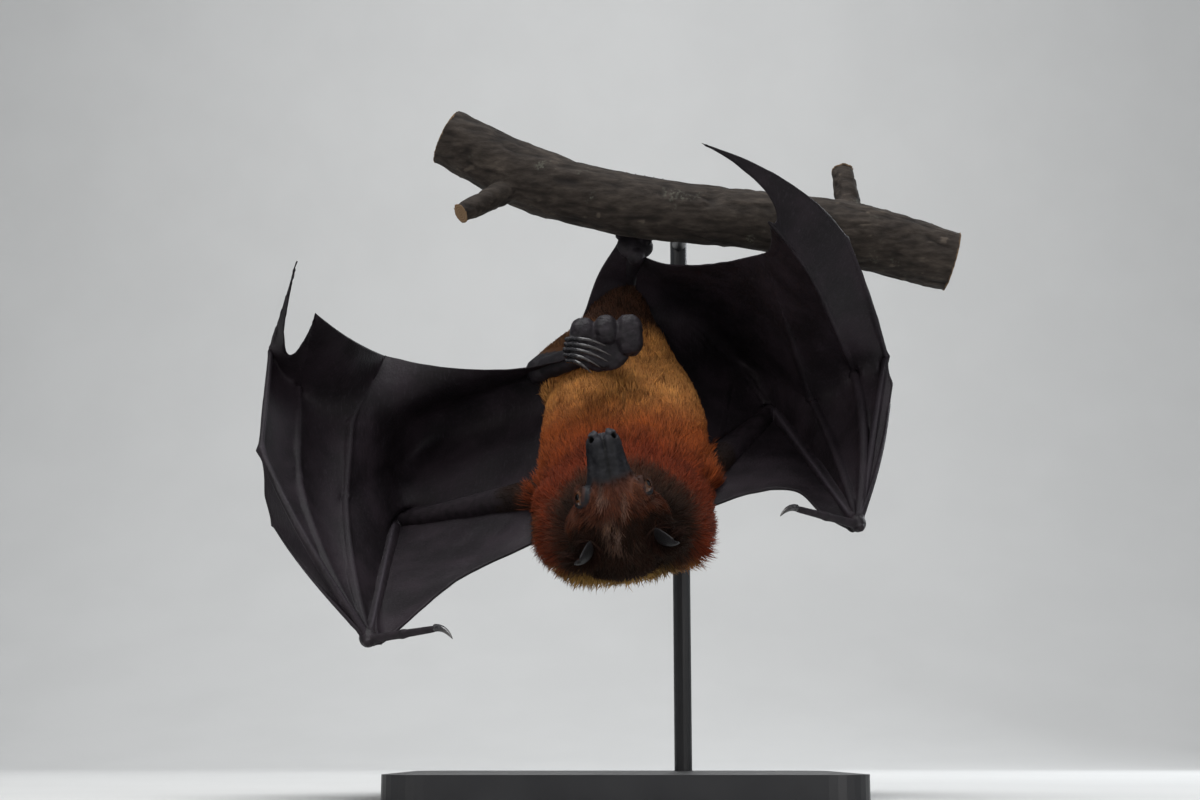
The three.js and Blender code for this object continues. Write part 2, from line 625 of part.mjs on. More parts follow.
function cylinder(from, to, radius) {
  const geometry = new THREE.CylinderGeometry(radius, radius, from.distanceTo(to), 20);
  const turn = new THREE.Quaternion().setFromUnitVectors(
    new THREE.Vector3(0, 1, 0), to.clone().sub(from).normalize());
  geometry.applyMatrix4(new THREE.Matrix4().compose(mix(from, to, 0.5), turn, new THREE.Vector3(1, 1, 1)));
  return solidOf(geometry);
}
const standRod = (grow) => {
  const [x, y] = STAND.rod.at;
  return cylinder(V([x, y, STAND.base.thick - grow]),
    V([x, y, STAND.arm.height + STAND.arm.radius + 3 + grow]), STAND.rod.radius + grow);
};
const standArm = (grow) => {
  const [x, y] = STAND.rod.at;
  return cylinder(V([x, y, STAND.arm.height]), V([x, 5, STAND.arm.height]), STAND.arm.radius + grow);
};

// ---------------------------------------------------------------- materials
const material = (color, roughness, metalness = 0) =>
  new THREE.MeshStandardMaterial({ color, roughness, metalness });
const MATERIAL = {
  fur_gold: material(0x9a5a24, 0.95),
  fur_rufous: material(0x6e2c12, 0.95),
  fur_dark: material(0x231510, 0.95),
  bare_skin: material(0x1d191c, 0.6),
  wing_skin: material(0x1c1719, 0.65),
  claw_horn: material(0x2b2624, 0.35),
  eye: material(0x5a3012, 0.08),
  bark: material(0x4a3a30, 0.9),
  stand_paint: material(0x18181a, 0.45, 0.6),
};

// ---------------------------------------------------------------- the whole, cut clear of itself
// each solid is cut back from those listed before it, so that neighbours keep the gap
const SIDES = { left: -1, right: 1 };
const parts = [
  ['stand_base', standBase, 'stand_paint'],
  ['perch', perch, 'bark'],
  ['stand_rod', standRod, 'stand_paint'],
  ['stand_arm', standArm, 'stand_paint'],
];
const bothSides = (name, make, finish) =>
  Object.keys(SIDES).forEach((side) => parts.push([`${name}_${side}`, make(side), finish]));
bothSides('eye', (side) => eye(SIDES[side]), 'eye');
parts.push(['head', head, 'fur_dark']);
bothSides('ear', (side) => ear(SIDES[side]), 'bare_skin');
parts.push(['neck', (grow) => bodySkin(NECK_FROM, BODY.length - 1, grow), 'fur_rufous']);
parts.push(['trunk', (grow) => bodySkin(0, NECK_FROM, grow), 'fur_gold']);
bothSides('thigh', thigh, 'fur_rufous');
bothSides('foot', foot, 'bare_skin');
bothSides('shin', shin, 'bare_skin');
for (let k = 0; k < TOES; k += 1) {
  bothSides(`toe_claw_${k + 1}`, (side) => claw(side, k), 'claw_horn');
}
bothSides('upper_arm', upperArm, 'fur_rufous');
bothSides('forearm', forearm, 'wing_skin');
bothSides('thumb', thumb, 'wing_skin');
bothSides('thumb_claw', thumbClaw, 'claw_horn');
for (const number of [3, 4, 5, 2]) {
  bothSides(`finger_${number}`, (side) => finger(side, number), 'wing_skin');
}
bothSides('web_2_3', frontStrip, 'wing_skin');
bothSides('web_3_4', (side) => fingerWeb(side, 3), 'wing_skin');
bothSides('web_4_5', (side) => fingerWeb(side, 4), 'wing_skin');
bothSides('front_web', frontWeb, 'wing_skin');
bothSides('body_web', bodyWeb, 'wing_skin');
parts.push(['leg_web', legWeb, 'wing_skin']);

const boxesMeet = (a, b) => [0, 1, 2].every((i) => a.min[i] <= b.max[i] && b.min[i] <= a.max[i]);
const model = new THREE.Group();
const placed = [];
for (const [name, make, finish] of parts) {
  let solid = make(0);
  for (const before of placed) {
    if (boxesMeet(solid.boundingBox(), before.grown.boundingBox())) solid = solid.subtract(before.grown);
  }
  solid = largest(solid.simplify(0.1));
  placed.push({ grown: make(GAP) });
  const mesh = new THREE.Mesh(geometryOf(solid), MATERIAL[finish]);
  mesh.name = name;
  model.add(mesh);
}

export default model;
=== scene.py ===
# A life-size fruit bat (a flying fox) that hangs by one foot from a cut length of branch on a display
# stand. Shapes are worked out in millimetres in the part's own frame, and made in metres: +Z up, the
# bat faces -Y, and its left wing is on the -X side.
from functools import reduce
from itertools import product

import bpy
import numpy as np
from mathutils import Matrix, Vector


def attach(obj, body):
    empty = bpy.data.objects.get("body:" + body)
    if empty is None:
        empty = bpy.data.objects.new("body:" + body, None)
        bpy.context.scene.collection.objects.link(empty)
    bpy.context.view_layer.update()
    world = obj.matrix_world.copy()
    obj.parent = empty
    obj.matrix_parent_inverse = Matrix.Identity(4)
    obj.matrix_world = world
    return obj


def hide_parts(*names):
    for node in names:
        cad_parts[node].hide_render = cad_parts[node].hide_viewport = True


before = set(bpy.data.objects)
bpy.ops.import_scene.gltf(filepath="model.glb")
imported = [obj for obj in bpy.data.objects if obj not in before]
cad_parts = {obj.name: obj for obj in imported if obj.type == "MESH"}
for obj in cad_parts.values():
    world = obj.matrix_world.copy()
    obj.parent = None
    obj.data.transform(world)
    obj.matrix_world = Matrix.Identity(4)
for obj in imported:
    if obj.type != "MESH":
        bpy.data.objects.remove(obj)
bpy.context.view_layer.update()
MM = 0.001
SIDES = {"left": -1, "right": 1}
FAR = 1e3        # farther than any two points of the bat are from each other


# ------------------------------------------------------------------ reckoning with points
def unit(v):
    v = np.asarray(v, float)
    return v / np.maximum(np.linalg.norm(v, axis=-1, keepdims=True), 1e-9)


def mix(a, b, share):
    return a + (b - a) * share


def ease(low, high, x):
    """0 below low, 1 above high, and a smooth step between."""
    t = np.clip((np.asarray(x, float) - low) / (high - low), 0, 1)
    return t * t * (3 - 2 * t)


def hump(x, middle, half_width):
    return np.exp(-(((np.asarray(x, float) - middle) / half_width) ** 2))


def dot(a, b):
    return (np.asarray(a) * np.asarray(b)).sum(-1)


def flat_to(v, normal):
    """v with its part along the normal taken out."""
    return v - normal * dot(v, normal)[..., None]


def strongest(*values):
    """The greatest of several values at each point."""
    return reduce(np.maximum, values)


def squared(v, line):
    """The unit vector that is nearest to v and square to a line."""
    return unit(flat_to(v, line))


def lumps(points, size, seed):
    """A smooth random value from -1 to 1 at each point, with lumps of about this size."""
    p = np.asarray(points, float) / size + 31.7 * (seed + 1)
    cell = np.floor(p).astype(np.int64)
    part = p - cell
    part = part * part * (3 - 2 * part)
    total = np.zeros(p.shape[:-1])
    for corner in product((0, 1), repeat=3):
        c = cell + np.array(corner)
        key = (c[..., 0] * 73856093) ^ (c[..., 1] * 19349663) ^ (c[..., 2] * 83492791)
        key = ((key ^ (key >> 13)) * 1274126177) & 0xFFFFFFFF
        value = ((key ^ (key >> 16)) & 0xFFFF) / 32767.5 - 1
        total += value * np.where(np.array(corner), part, 1 - part).prod(-1)
    return total


def smooth_run(rows, count):
    """Rows of numbers turned into count rows along one smooth curve through them."""
    rows = np.asarray(rows, float)
    t = np.linspace(0, len(rows) - 1, count)
    i = np.clip(t.astype(int), 0, len(rows) - 2)
    f = (t - i)[:, None]
    p = np.vstack([2 * rows[0] - rows[1], rows, 2 * rows[-1] - rows[-2]])
    a, b, c, d = p[i], p[i + 1], p[i + 2], p[i + 3]
    return 0.5 * (2 * b + (c - a) * f + (2 * a - 5 * b + 4 * c - d) * f**2
                  + (3 * b - a - 3 * c + d) * f**3)


def by_distance(points, t):
    """Points along a run of points, t from 0 to 1 by distance."""
    points = np.asarray(points, float)
    steps = np.linalg.norm(np.diff(points, axis=0), axis=1)
    at = np.concatenate([[0], np.cumsum(steps)]) / steps.sum()
    return np.stack([np.interp(t, at, points[:, k]) for k in range(3)], -1)


# ------------------------------------------------------------------ making meshes
def make_mesh(name, points_mm, faces):
    """A mesh from points in millimetres and faces, given as arrays of corner numbers."""
    mesh = bpy.data.meshes.new(name)
    faces = [np.asarray(f, np.int32) for f in faces if len(f)]
    counts = np.concatenate([np.full(len(f), f.shape[1], np.int32) for f in faces])
    corners = np.concatenate([f.ravel() for f in faces])
    mesh.vertices.add(len(points_mm))
    mesh.vertices.foreach_set("co", (np.asarray(points_mm, float) * MM).astype(np.float32).ravel())
    mesh.loops.add(len(corners))
    mesh.loops.foreach_set("vertex_index", corners)
    mesh.polygons.add(len(counts))
    starts = np.concatenate([[0], np.cumsum(counts)[:-1]])
    mesh.polygons.foreach_set("loop_start", starts.astype(np.int32))
    mesh.polygons.foreach_set("loop_total", counts)
    mesh.update(calc_edges=True)
    mesh.polygons.foreach_set("use_smooth", np.full(len(counts), True))
    mesh.validate()
    return mesh


def place(name, mesh, *materials):
    obj = bpy.data.objects.new(name, mesh)
    bpy.context.scene.collection.objects.link(obj)
    for material in materials:
        mesh.materials.append(material)
    return obj


def mark(mesh, name, values):
    """A number kept for each vertex, which a material reads by its name."""
    layer = mesh.attributes.new(name, "FLOAT", "POINT")
    layer.data.foreach_set("value", np.asarray(values, np.float32))


def corners_of(mesh):
    points = np.zeros(len(mesh.vertices) * 3, np.float32)
    mesh.vertices.foreach_get("co", points)
    return points.reshape(-1, 3).astype(float) / MM


def normals_of(mesh):
    normals = np.zeros(len(mesh.vertices) * 3, np.float32)
    mesh.vertex_normals.foreach_get("vector", normals)
    return normals.reshape(-1, 3).astype(float)


def triangles_of(mesh):
    mesh.calc_loop_triangles()
    corners = np.zeros(len(mesh.loop_triangles) * 3, np.int32)
    mesh.loop_triangles.foreach_get("vertices", corners)
    return corners.reshape(-1, 3)


def move_to(mesh, points_mm):
    mesh.vertices.foreach_set("co", (points_mm * MM).astype(np.float32).ravel())
    mesh.update()


class Shapes:
    """Closed shapes that are gathered up and then grown together into one skin."""

    def __init__(self):
        self.points, self.quads, self.triangles, self.count = [], [], [], 0

    def rings(self, rings):
        """A closed skin over rings of points, rings x sides x 3."""
        rings = np.asarray(rings, float)
        many, sides = rings.shape[:2]
        grid = np.arange(many * sides).reshape(many, sides) + self.count
        ahead = np.roll(grid, -1, axis=1)
        quads = np.stack([grid[:-1], ahead[:-1], ahead[1:], grid[1:]], -1).reshape(-1, 4)
        first, last = self.count + many * sides, self.count + many * sides + 1
        ends = np.concatenate([
            np.stack([np.full(sides, first), ahead[0], grid[0]], -1),
            np.stack([np.full(sides, last), grid[-1], ahead[-1]], -1)])
        points = np.concatenate([rings.reshape(-1, 3), rings[[0, -1]].mean(1)])
        a, b, c, d = points[(quads - self.count).T]
        if dot(np.cross(a, b), c).sum() + dot(np.cross(a, c), d).sum() < 0:
            quads, ends = quads[:, ::-1], ends[:, ::-1]
        self.points.append(points)
        self.quads.append(quads)
        self.triangles.append(ends)
        self.count += len(points)

    def tube(self, line, radii, sides=20, round_ends=True):
        """A tube of round section along a line of points, with a radius for each."""
        line, radii = np.asarray(line, float), np.asarray(radii, float)
        if round_ends:
            turn = np.radians([0, 22.5, 45, 67.5])[:, None]
            start = line[0] - unit(line[1] - line[0]) * radii[0] * np.cos(turn)
            end = line[-1] + unit(line[-1] - line[-2]) * radii[-1] * np.cos(turn[::-1])
            line = np.vstack([start, line, end])
            turn = np.sin(turn[:, 0])
            radii = np.concatenate([radii[0] * turn + 0.01, radii, radii[-1] * turn[::-1] + 0.01])
        self.rings(tube_rings(line, radii, sides))

    def lump(self, middle, sizes, axes=np.eye(3), square=1.0):
        """A round lump with three half sizes, more like a box where square is under 1."""
        turns = np.linspace(0, np.pi, 14)[1:-1]
        round_ = np.linspace(0, 2 * np.pi, 24, endpoint=False)
        ring = np.stack([np.outer(np.sin(turns), np.cos(round_)), np.outer(np.sin(turns), np.sin(round_)),
                         np.outer(np.cos(turns), np.ones(24))], -1)
        ring = np.sign(ring) * np.abs(ring) ** square
        self.rings(np.asarray(middle, float) + (ring * np.asarray(sizes, float)) @ axes)

    def mesh(self, name):
        return make_mesh(name, np.concatenate(self.points),
                         [np.concatenate(self.quads), np.concatenate(self.triangles)])


def tube_rings(line, radii, sides):
    line = np.asarray(line, float)
    ahead = unit(np.gradient(line, axis=0))
    aside = squared(np.array([0.31, 0.52, 0.79]), ahead[0])
    turn = np.linspace(0, 2 * np.pi, sides, endpoint=False)
    rings = []
    for point, direction, radius in zip(line, ahead, radii):
        aside = squared(aside, direction)
        up = np.cross(direction, aside)
        rings.append(point + radius * (np.outer(np.cos(turn), aside) + np.outer(np.sin(turn), up)))
    return np.array(rings)


def grown_together(mesh, cell_mm, soften):
    """The shapes of a mesh made into one closed skin and softened."""
    obj = place("work", mesh)
    remesh = obj.modifiers.new("grow", "REMESH")
    remesh.mode, remesh.voxel_size = "VOXEL", cell_mm * MM
    calm = obj.modifiers.new("soften", "SMOOTH")
    calm.factor, calm.iterations = 0.5, soften
    return applied(obj)


def thinned(mesh, keep):
    """A mesh with this share of its faces kept."""
    obj = place("work", mesh)
    obj.modifiers.new("thin", "DECIMATE").ratio = keep
    return applied(obj)


def applied(obj):
    """The mesh that an object's modifiers make. The object itself goes."""
    mesh = bpy.data.meshes.new_from_object(obj.evaluated_get(bpy.context.evaluated_depsgraph_get()))
    bpy.data.objects.remove(obj)
    return mesh


# ------------------------------------------------------------------ materials
class Number:
    """A material's socket that can be reckoned with like a plain number."""

    def __init__(self, finish, socket):
        self.finish, self.socket = finish, socket

    def worked(self, operation, *values):
        """One step of sums, on the values that are given."""
        return self.finish.node("ShaderNodeMath", {"operation": operation},
                                dict(enumerate(values)), "Value")

    def __add__(self, other):
        return self.worked("ADD", self, other)

    def __rsub__(self, other):
        return self.worked("SUBTRACT", other, self)

    def __mul__(self, other):
        return self.worked("MULTIPLY", self, other)

    def between(self, low, high):
        """0 below low, 1 above high, and a smooth step between."""
        return self.finish.node("ShaderNodeMapRange", {"interpolation_type": "SMOOTHSTEP"},
                                {"Value": self, "From Min": low, "From Max": high}, "Result")


class Finish:
    """One material, built round a single shader."""

    def __init__(self, name):
        self.material = bpy.data.materials.new(name)
        self.material.use_nodes = True
        self.tree = self.material.node_tree
        self.tree.nodes.clear()
        self.shader = self.tree.nodes.new("ShaderNodeBsdfPrincipled")
        output = self.tree.nodes.new("ShaderNodeOutputMaterial")
        self.tree.links.new(self.shader.outputs[0], output.inputs["Surface"])

    def node(self, kind, settings, values, output):
        """Any node: its settings first, then its values and links. Gives the socket that comes out."""
        made = self.tree.nodes.new(kind)
        for name, value in settings.items():
            setattr(made, name, value)
        for name, value in values.items():
            self.put(self.socket(made.inputs, name), value)
        return Number(self, self.socket(made.outputs, output))

    @staticmethod
    def socket(sockets, name):
        return next((s for s in sockets if s.identifier == name), None) or sockets[name]

    def put(self, socket, value):
        if isinstance(value, Number):
            self.tree.links.new(value.socket, socket)
        elif isinstance(value, (tuple, list)) and socket.type == "RGBA":
            socket.default_value = (*value, 1)
        else:
            socket.default_value = value

    def set(self, **values):
        for name, value in values.items():
            self.put(self.shader.inputs[name.replace("_", " ")], value)

    def colours(self, share, a, b, blend="MIX"):
        """Colour b laid over colour a by a share."""
        return self.node("ShaderNodeMix", {"data_type": "RGBA", "blend_type": blend},
                         {"Factor_Float": share, "A_Color": a, "B_Color": b}, "Result_Color")

    def marked(self, name):
        return self.node("ShaderNodeAttribute", {"attribute_name": name}, {}, "Fac")

    def place(self, stretch=(1, 1, 1), turn=(0, 0, 0)):
        """The place on the object in millimetres, stretched and turned."""
        where = self.node("ShaderNodeTexCoord", {}, {}, "Object")
        return self.node("ShaderNodeMapping", {"vector_type": "POINT"}, {
            "Vector": where, "Scale": tuple(1000 * s for s in stretch), "Rotation": turn}, "Vector")

    def noise(self, size_mm, detail=3.0, roughness=0.5, where=None):
        return self.node("ShaderNodeTexNoise", {}, {
            "Vector": where or self.place(), "Scale": 1 / size_mm, "Detail": detail,
            "Roughness": roughness}, "Fac")

    def pebbles(self, size_mm):
        return self.node("ShaderNodeTexVoronoi", {"feature": "SMOOTH_F1"},
                         {"Vector": self.place(), "Scale": 1 / size_mm}, "Distance")

    def ramp(self, share, stops):
        """A colour from a row of places and colours."""
        made = self.node("ShaderNodeValToRGB", {}, {"Fac": share}, "Color")
        elements = made.socket.node.color_ramp.elements
        for at, colour in stops[1:-1]:
            elements.new(at).color = (*colour, 1)
        for element, (at, colour) in zip((elements[0], elements[-1]), (stops[0], stops[-1])):
            element.position, element.color = at, (*colour, 1)
        return made

    def bumped(self, height, depth_mm):
        self.set(Normal=self.node("ShaderNodeBump", {}, {"Height": height, "Distance": depth_mm * MM,
                                                         "Strength": 1.0}, "Normal"))


COLOUR = {
    "gold": (0.56, 0.255, 0.078), "orange": (0.30, 0.070, 0.017), "rufous": (0.155, 0.024, 0.0085),
    "umber": (0.0062, 0.0034, 0.0030), "frost": (0.30, 0.235, 0.20), "straw": (0.46, 0.27, 0.075),
    "rust": (0.100, 0.034, 0.021), "dun": (0.055, 0.024, 0.015),
    "slate": (0.0082, 0.0084, 0.0105), "slate_pale": (0.0205, 0.0205, 0.0245),
    # the pale slate below is both wear on the feet and a painted highlight over the nose's end
    "slate_wear_and_highlight": (0.07, 0.067, 0.077), "wing": (0.0085, 0.0062, 0.0080),
    # the pale wing colour is both the wing's fine strands and a painted highlight along its bones
    "wing_plum": (0.0185, 0.0130, 0.0170), "wing_strand_and_highlight": (0.048, 0.040, 0.050),
}
# how the coat's colours lie over each other, from the ground colour up
MARKINGS = ["gold", "rufous", "rust", "dun", "umber", "frost", "straw"]


def coat_colours(finish):
    colour = COLOUR["orange"]
    for name in MARKINGS:
        colour = finish.colours(finish.marked(name), colour, COLOUR[name])
    return colour


def coat_finish():
    """Hair: its markings, darker at the root, with each tuft a little lighter or darker."""
    f = Finish("coat")
    tip, tone = f.marked("tip"), f.marked("tone")
    colour = f.colours(tip.between(0.0, 0.8) * -0.60 + 0.60, coat_colours(f), (0.008, 0.003, 0.002))
    colour = f.colours(tone.between(0.0, 1.0) * 0.60, colour, (1.0, 0.84, 0.62), "SOFT_LIGHT")
    colour = f.colours(1 - tone.between(-1.0, 0.0), colour, (0.34, 0.27, 0.24), "MULTIPLY")
    f.set(Base_Color=colour, Roughness=0.72, Sheen_Weight=0.03, Sheen_Roughness=0.5,
          Sheen_Tint=(1.0, 0.80, 0.58), Specular_IOR_Level=0.07)
    return f.material


def skin_finish():
    """Skin under the coat takes the coat's markings. The bare muzzle is slate grey, and the bare ears,
    arms, legs and feet are nearly as dark as the wings. Spots of wear make the feet paler. The paler end
    of the nose and the paler cords of the forearms are painted highlight, and the near black in the
    nostrils, in the groove along the bridge and over the ears is painted shade."""
    f = Finish("skin_and_bare_parts")
    under = f.colours(0.40, coat_colours(f), (0.02, 0.008, 0.005))
    mottle = f.noise(4.0, 4)
    bare = f.colours(mottle.between(0.35, 0.75), COLOUR["slate"], COLOUR["slate_pale"])
    # paler: spots of wear on the feet, and a painted highlight over the nose's end
    bare = f.colours(f.marked("wear_and_highlight"), bare, COLOUR["slate_wear_and_highlight"])
    leather = f.colours(mottle.between(0.3, 0.7), COLOUR["wing"], COLOUR["wing_plum"])
    bare = f.colours(f.marked("leather"), bare, leather)
    # painted highlight along the forearms' tendons
    bare = f.colours(f.marked("painted_highlight") * 0.75, bare, COLOUR["wing_strand_and_highlight"])
    # painted shade: near black in the nostrils, in the groove along the bridge and over the ears
    bare = f.colours(f.marked("painted_shade"), bare, (0.002, 0.002, 0.002))
    f.set(Base_Color=f.colours(f.marked("bare"), under, bare), Specular_IOR_Level=0.22,
          Roughness=f.marked("bare") * -0.30 + 0.80 + mottle * 0.12)
    f.bumped(f.pebbles(0.8) * 0.8 + f.noise(0.4, 3, 0.6) * 0.6 + f.noise(2.2, 2) * 0.5, 0.16)
    return f.material


def wing_finish():
    """Thin leathery skin: near black with a plum cast, fine strands across it and a grain, and a painted
    highlight along its bones.
    """
    f = Finish("wing_skin")
    cloud = f.noise(24, 4)
    colour = f.colours(cloud.between(0.36, 0.68), COLOUR["wing"], COLOUR["wing_plum"])
    # painted highlight along the bones and the leading edge
    colour = f.colours(f.marked("painted_highlight") * 0.35, colour, COLOUR["wing_strand_and_highlight"])
    strands = f.noise(1.0, 3, 0.6, f.place((0.9, 0.9, 0.16)))
    crossing = f.noise(1.2, 3, 0.6, f.place((0.16, 0.5, 0.9)))
    fine = f.noise(0.45, 3, 0.6)
    f.set(Base_Color=f.colours(strands.between(0.50, 0.80) * 0.35, colour, COLOUR["wing_strand_and_highlight"]),
          Roughness=cloud * 0.16 + 0.52, Specular_IOR_Level=0.17)
    f.bumped(strands * 0.9 + crossing * 0.5 + fine * 0.35 + f.pebbles(1.4) * 0.4, 0.22)
    return f.material


def claw_finish():
    """Dark horn with paler streaks, and paler towards its tip."""
    f = Finish("claw_horn")
    streak = f.noise(1.4, 3)
    colour = f.colours(f.marked("tip").between(0.2, 1.0), (0.016, 0.015, 0.017), (0.060, 0.054, 0.052))
    f.set(Base_Color=f.colours(streak.between(0.45, 0.7) * 0.35, colour, (0.13, 0.125, 0.13)),
          Roughness=0.26, Specular_IOR_Level=0.5)
    f.bumped(streak, 0.05)
    return f.material


def eye_finish():
    """A big brown eye: a dark pupil, an iris with streaks and a dark rim."""
    f = Finish("eye")
    off = f.marked("off_axis")
    streaks = f.noise(0.7, 4, 0.7)
    iris = f.colours(streaks.between(0.3, 0.7), (0.040, 0.014, 0.005), (0.105, 0.038, 0.011))
    iris = f.colours(off.between(0.80, 1.05), iris, (0.012, 0.006, 0.004))
    f.set(Base_Color=f.colours(off.between(0.27, 0.33), (0.002, 0.002, 0.002), iris), Roughness=0.16,
          Specular_IOR_Level=0.3, Coat_Weight=0.45, Coat_Roughness=0.04)
    return f.material


def bark_finish():
    """Dark grey brown bark: finely cracked, paler on its raised parts, with a little lichen, and near
    black painted shade in its deepest cracks.
    """
    f = Finish("bark")
    along = f.place((0.30, 1, 1), (0, 0.26, 0))
    rough = f.noise(3.2, 6, 0.62, along)
    broad = f.noise(22, 3)
    colour = f.ramp(rough * 0.75 + broad * 0.25, [
        (0.30, (0.0120, 0.0095, 0.0080)), (0.45, (0.026, 0.0205, 0.017)), (0.58, (0.046, 0.037, 0.0305)),
        (0.74, (0.085, 0.068, 0.056))])
    lichen = f.noise(17, 4, 0.6).between(0.60, 0.70) * f.noise(1.6, 3).between(0.45, 0.6)
    colour = f.colours(lichen * 0.45, colour, (0.13, 0.13, 0.105))
    # painted shade: near black in the deepest cracks
    colour = f.colours(f.marked("hollow"), colour, (0.007, 0.0055, 0.005))
    colour = f.colours(f.marked("pores"), colour, (0.105, 0.085, 0.068))
    rings = f.marked("from_pith") * 5.2 + f.noise(6, 2) * 4
    rings = rings.worked("SINE", rings)
    wood = f.colours(rings.between(-1, 1), (0.25, 0.165, 0.095), (0.15, 0.090, 0.048))
    f.set(Base_Color=f.colours(f.marked("cut"), colour, wood), Roughness=0.86, Specular_IOR_Level=0.20)
    f.bumped(rough + f.noise(0.8, 4, 0.65) * 0.35, 0.55)
    return f.material


def stand_finish():
    """Satin paint, near black, with a slight grain."""
    f = Finish("stand_paint")
    colour = f.colours(f.noise(40, 3).between(0.3, 0.7), (0.016, 0.016, 0.018), (0.024, 0.024, 0.026))
    f.set(Base_Color=colour, Roughness=f.noise(22, 4) * 0.16 + 0.34, Metallic=0.25)
    f.bumped(f.noise(0.35, 2), 0.035)
    return f.material


def floor_finish(name, colour):
    """A dull, even ground with faint clouds in it."""
    f = Finish(name)
    cloudy = f.colours(f.noise(180, 3).between(0.3, 0.7), colour, tuple(0.97 * c for c in colour))
    f.set(Base_Color=cloudy, Roughness=0.75, Specular_IOR_Level=0.25)
    return f.material


COAT, SKIN, WING_LEATHER = coat_finish(), skin_finish(), wing_finish()
HORN, EYE, BARK, PAINT = claw_finish(), eye_finish(), bark_finish(), stand_finish()


# ------------------------------------------------------------------ the wings' bones
FOREARM = 164    # the forearm's length, and below it each bone's share of that length
SHARE = {"humerus": 0.70, "forearm": 1.00, "thumb": 0.23, "palm2": 0.50, "first2": 0.20,
         "palm3": 0.72, "first3": 0.50, "last3": 0.62, "palm4": 0.69, "first4": 0.41, "last4": 0.40,
         "palm5": 0.72, "first5": 0.31, "last5": 0.30}
# each bone's direction: its turn about +Z from +X and its rise above level, in degrees
SHOULDER = {"left": (-19.1, -12.0, 154.1), "right": (46.6, -12.0, 157.2)}
POSE = {
    "left": {
        "humerus": (146.7, -4.5), "forearm": (-86.9, -26.1), "thumb": (-31.4, 5.4),
        "palm2": (148.3, 43.4), "first2": (178, 71.7),
        "palm3": (148.8, 53.6), "first3": (97.8, 49.9), "last3": (-72.9, 11.9),
        "palm4": (126.9, 48.6), "first4": (102.5, 55.3), "last4": (-73.2, 22.0),
        "palm5": (106.1, 40.9), "first5": (93.5, 63.3), "last5": (58.3, 57.4)},
    "right": {
        "humerus": (57.2, 29.6), "forearm": (-80.1, -30.8), "thumb": (-147.3, 7.4),
        "palm2": (60.1, 54.2), "first2": (67.3, 55.8),
        "palm3": (66.9, 55.2), "first3": (-114.6, 34.5), "last3": (-140.4, 16.0),
        "palm4": (81.7, 53.2), "first4": (-111.7, 21.0), "last4": (-121.2, 22.0),
        "palm5": (96.4, 41.6), "first5": (-115.2, 42.9), "last5": (-114.2, 34.8)},
}
# how far the middle of a bone is bowed out towards the wing's leading edge
BOW = {"left": {"palm2": 8.5, "palm3": 8, "palm4": 7, "palm5": 3},
       "right": {"palm2": 2.5, "palm3": 0.5, "palm4": 5, "palm5": 2, "first3": 1.5, "last3": 9,
                 "last4": 2}}
BONES = {2: ("palm2", "first2"), 3: ("palm3", "first3", "last3"), 4: ("palm4", "first4", "last4"),
         5: ("palm5", "first5", "last5")}


def heading(side, bone):
    turn, rise = np.radians(POSE[side][bone])
    return np.array([np.cos(rise) * np.cos(turn), np.cos(rise) * np.sin(turn), np.sin(rise)])


class Wing:
    """The places of a wing's joints, and points along its fingers."""

    def __init__(self, side):
        self.side = side
        self.shoulder = np.array(SHOULDER[side])
        self.elbow = self.reach(self.shoulder, "humerus")
        self.wrist = self.reach(self.elbow, "forearm")
        self.thumb = self.reach(self.wrist, "thumb")
        self.joints, self.bows = {}, {}
        for number, bones in BONES.items():
            near = max(3, min(number, 4))
            spread = unit(heading(side, f"palm{near}") - heading(side, f"palm{near + 1}"))
            joints, bows = [self.wrist], []
            for bone in bones:
                joints.append(self.reach(joints[-1], bone))
                bows.append(squared(spread, heading(side, bone)) * BOW[side].get(bone, 0))
            self.joints[number], self.bows[number] = np.array(joints), np.array(bows)

    def reach(self, start, bone):
        return start + heading(self.side, bone) * SHARE[bone] * FOREARM

    def finger(self, number, t):
        """Points along a finger, where t counts its bones: 0 at the wrist, 1 at the knuckle and so on."""
        joints, bows = self.joints[number], self.bows[number]
        t = np.clip(np.asarray(t, float), 0, len(bows))
        bone = np.minimum(t.astype(int), len(bows) - 1)
        share = (t - bone)[..., None]
        return mix(joints[bone], joints[bone + 1], share) + bows[bone] * 4 * share * (1 - share)

    def thickness(self, number, t):
        """The radius of a finger, with a knob at each joint."""
        lengths = [SHARE[b] * FOREARM for b in BONES[number]]
        last = len(lengths)
        radius = np.interp(t, [0, 1, 1.001, last - 1, last - 0.999, last],
                           [2.25, 1.75, 1.5, 1.45, 1.2, 0.45])
        for joint, knob in ((1, 0.75), (2, 0.4)):
            if joint < last:
                near = np.where(t < joint, lengths[joint - 1], lengths[joint])
                radius = radius + knob * np.exp(-(((t - joint) * near / 3.4) ** 2))
        return radius


WINGS = {side: Wing(side) for side in SIDES}


# ------------------------------------------------------------------ the body, head and legs
# the body from the tail end to the nape, as the coat's outline: middle, half width and half depth, and
# then how deep the coat is there
BODY = np.array([
    (11.5, 50, 278, 7, 7, 2.0), (11.3, 46.5, 270, 16, 14, 3.0), (10.0, 42, 251, 27, 21, 4.0),
    (10.5, 34, 227, 37, 25, 4.2), (12.5, 20, 203, 46, 29, 5.0), (13.5, 4, 177, 49, 31, 6.0),
    (13.0, -11, 154, 50, 32, 7.0), (11.5, -24, 137, 50, 31, 7.0), (9.0, -35, 125, 45, 27, 7.0),
    (9.5, -43, 117.5, 34, 20, 6.5), (11.0, -48, 113, 18, 11, 5.0)])
CROWN, NOSE = np.array([13.6, -60, 108.3]), np.array([1.0, -84, 170])
HEAD_AHEAD = unit(NOSE - CROWN)
HEAD_UP = squared(np.array([0.0, -1, 0]), HEAD_AHEAD)
HEAD_ASIDE = np.cross(HEAD_AHEAD, HEAD_UP)
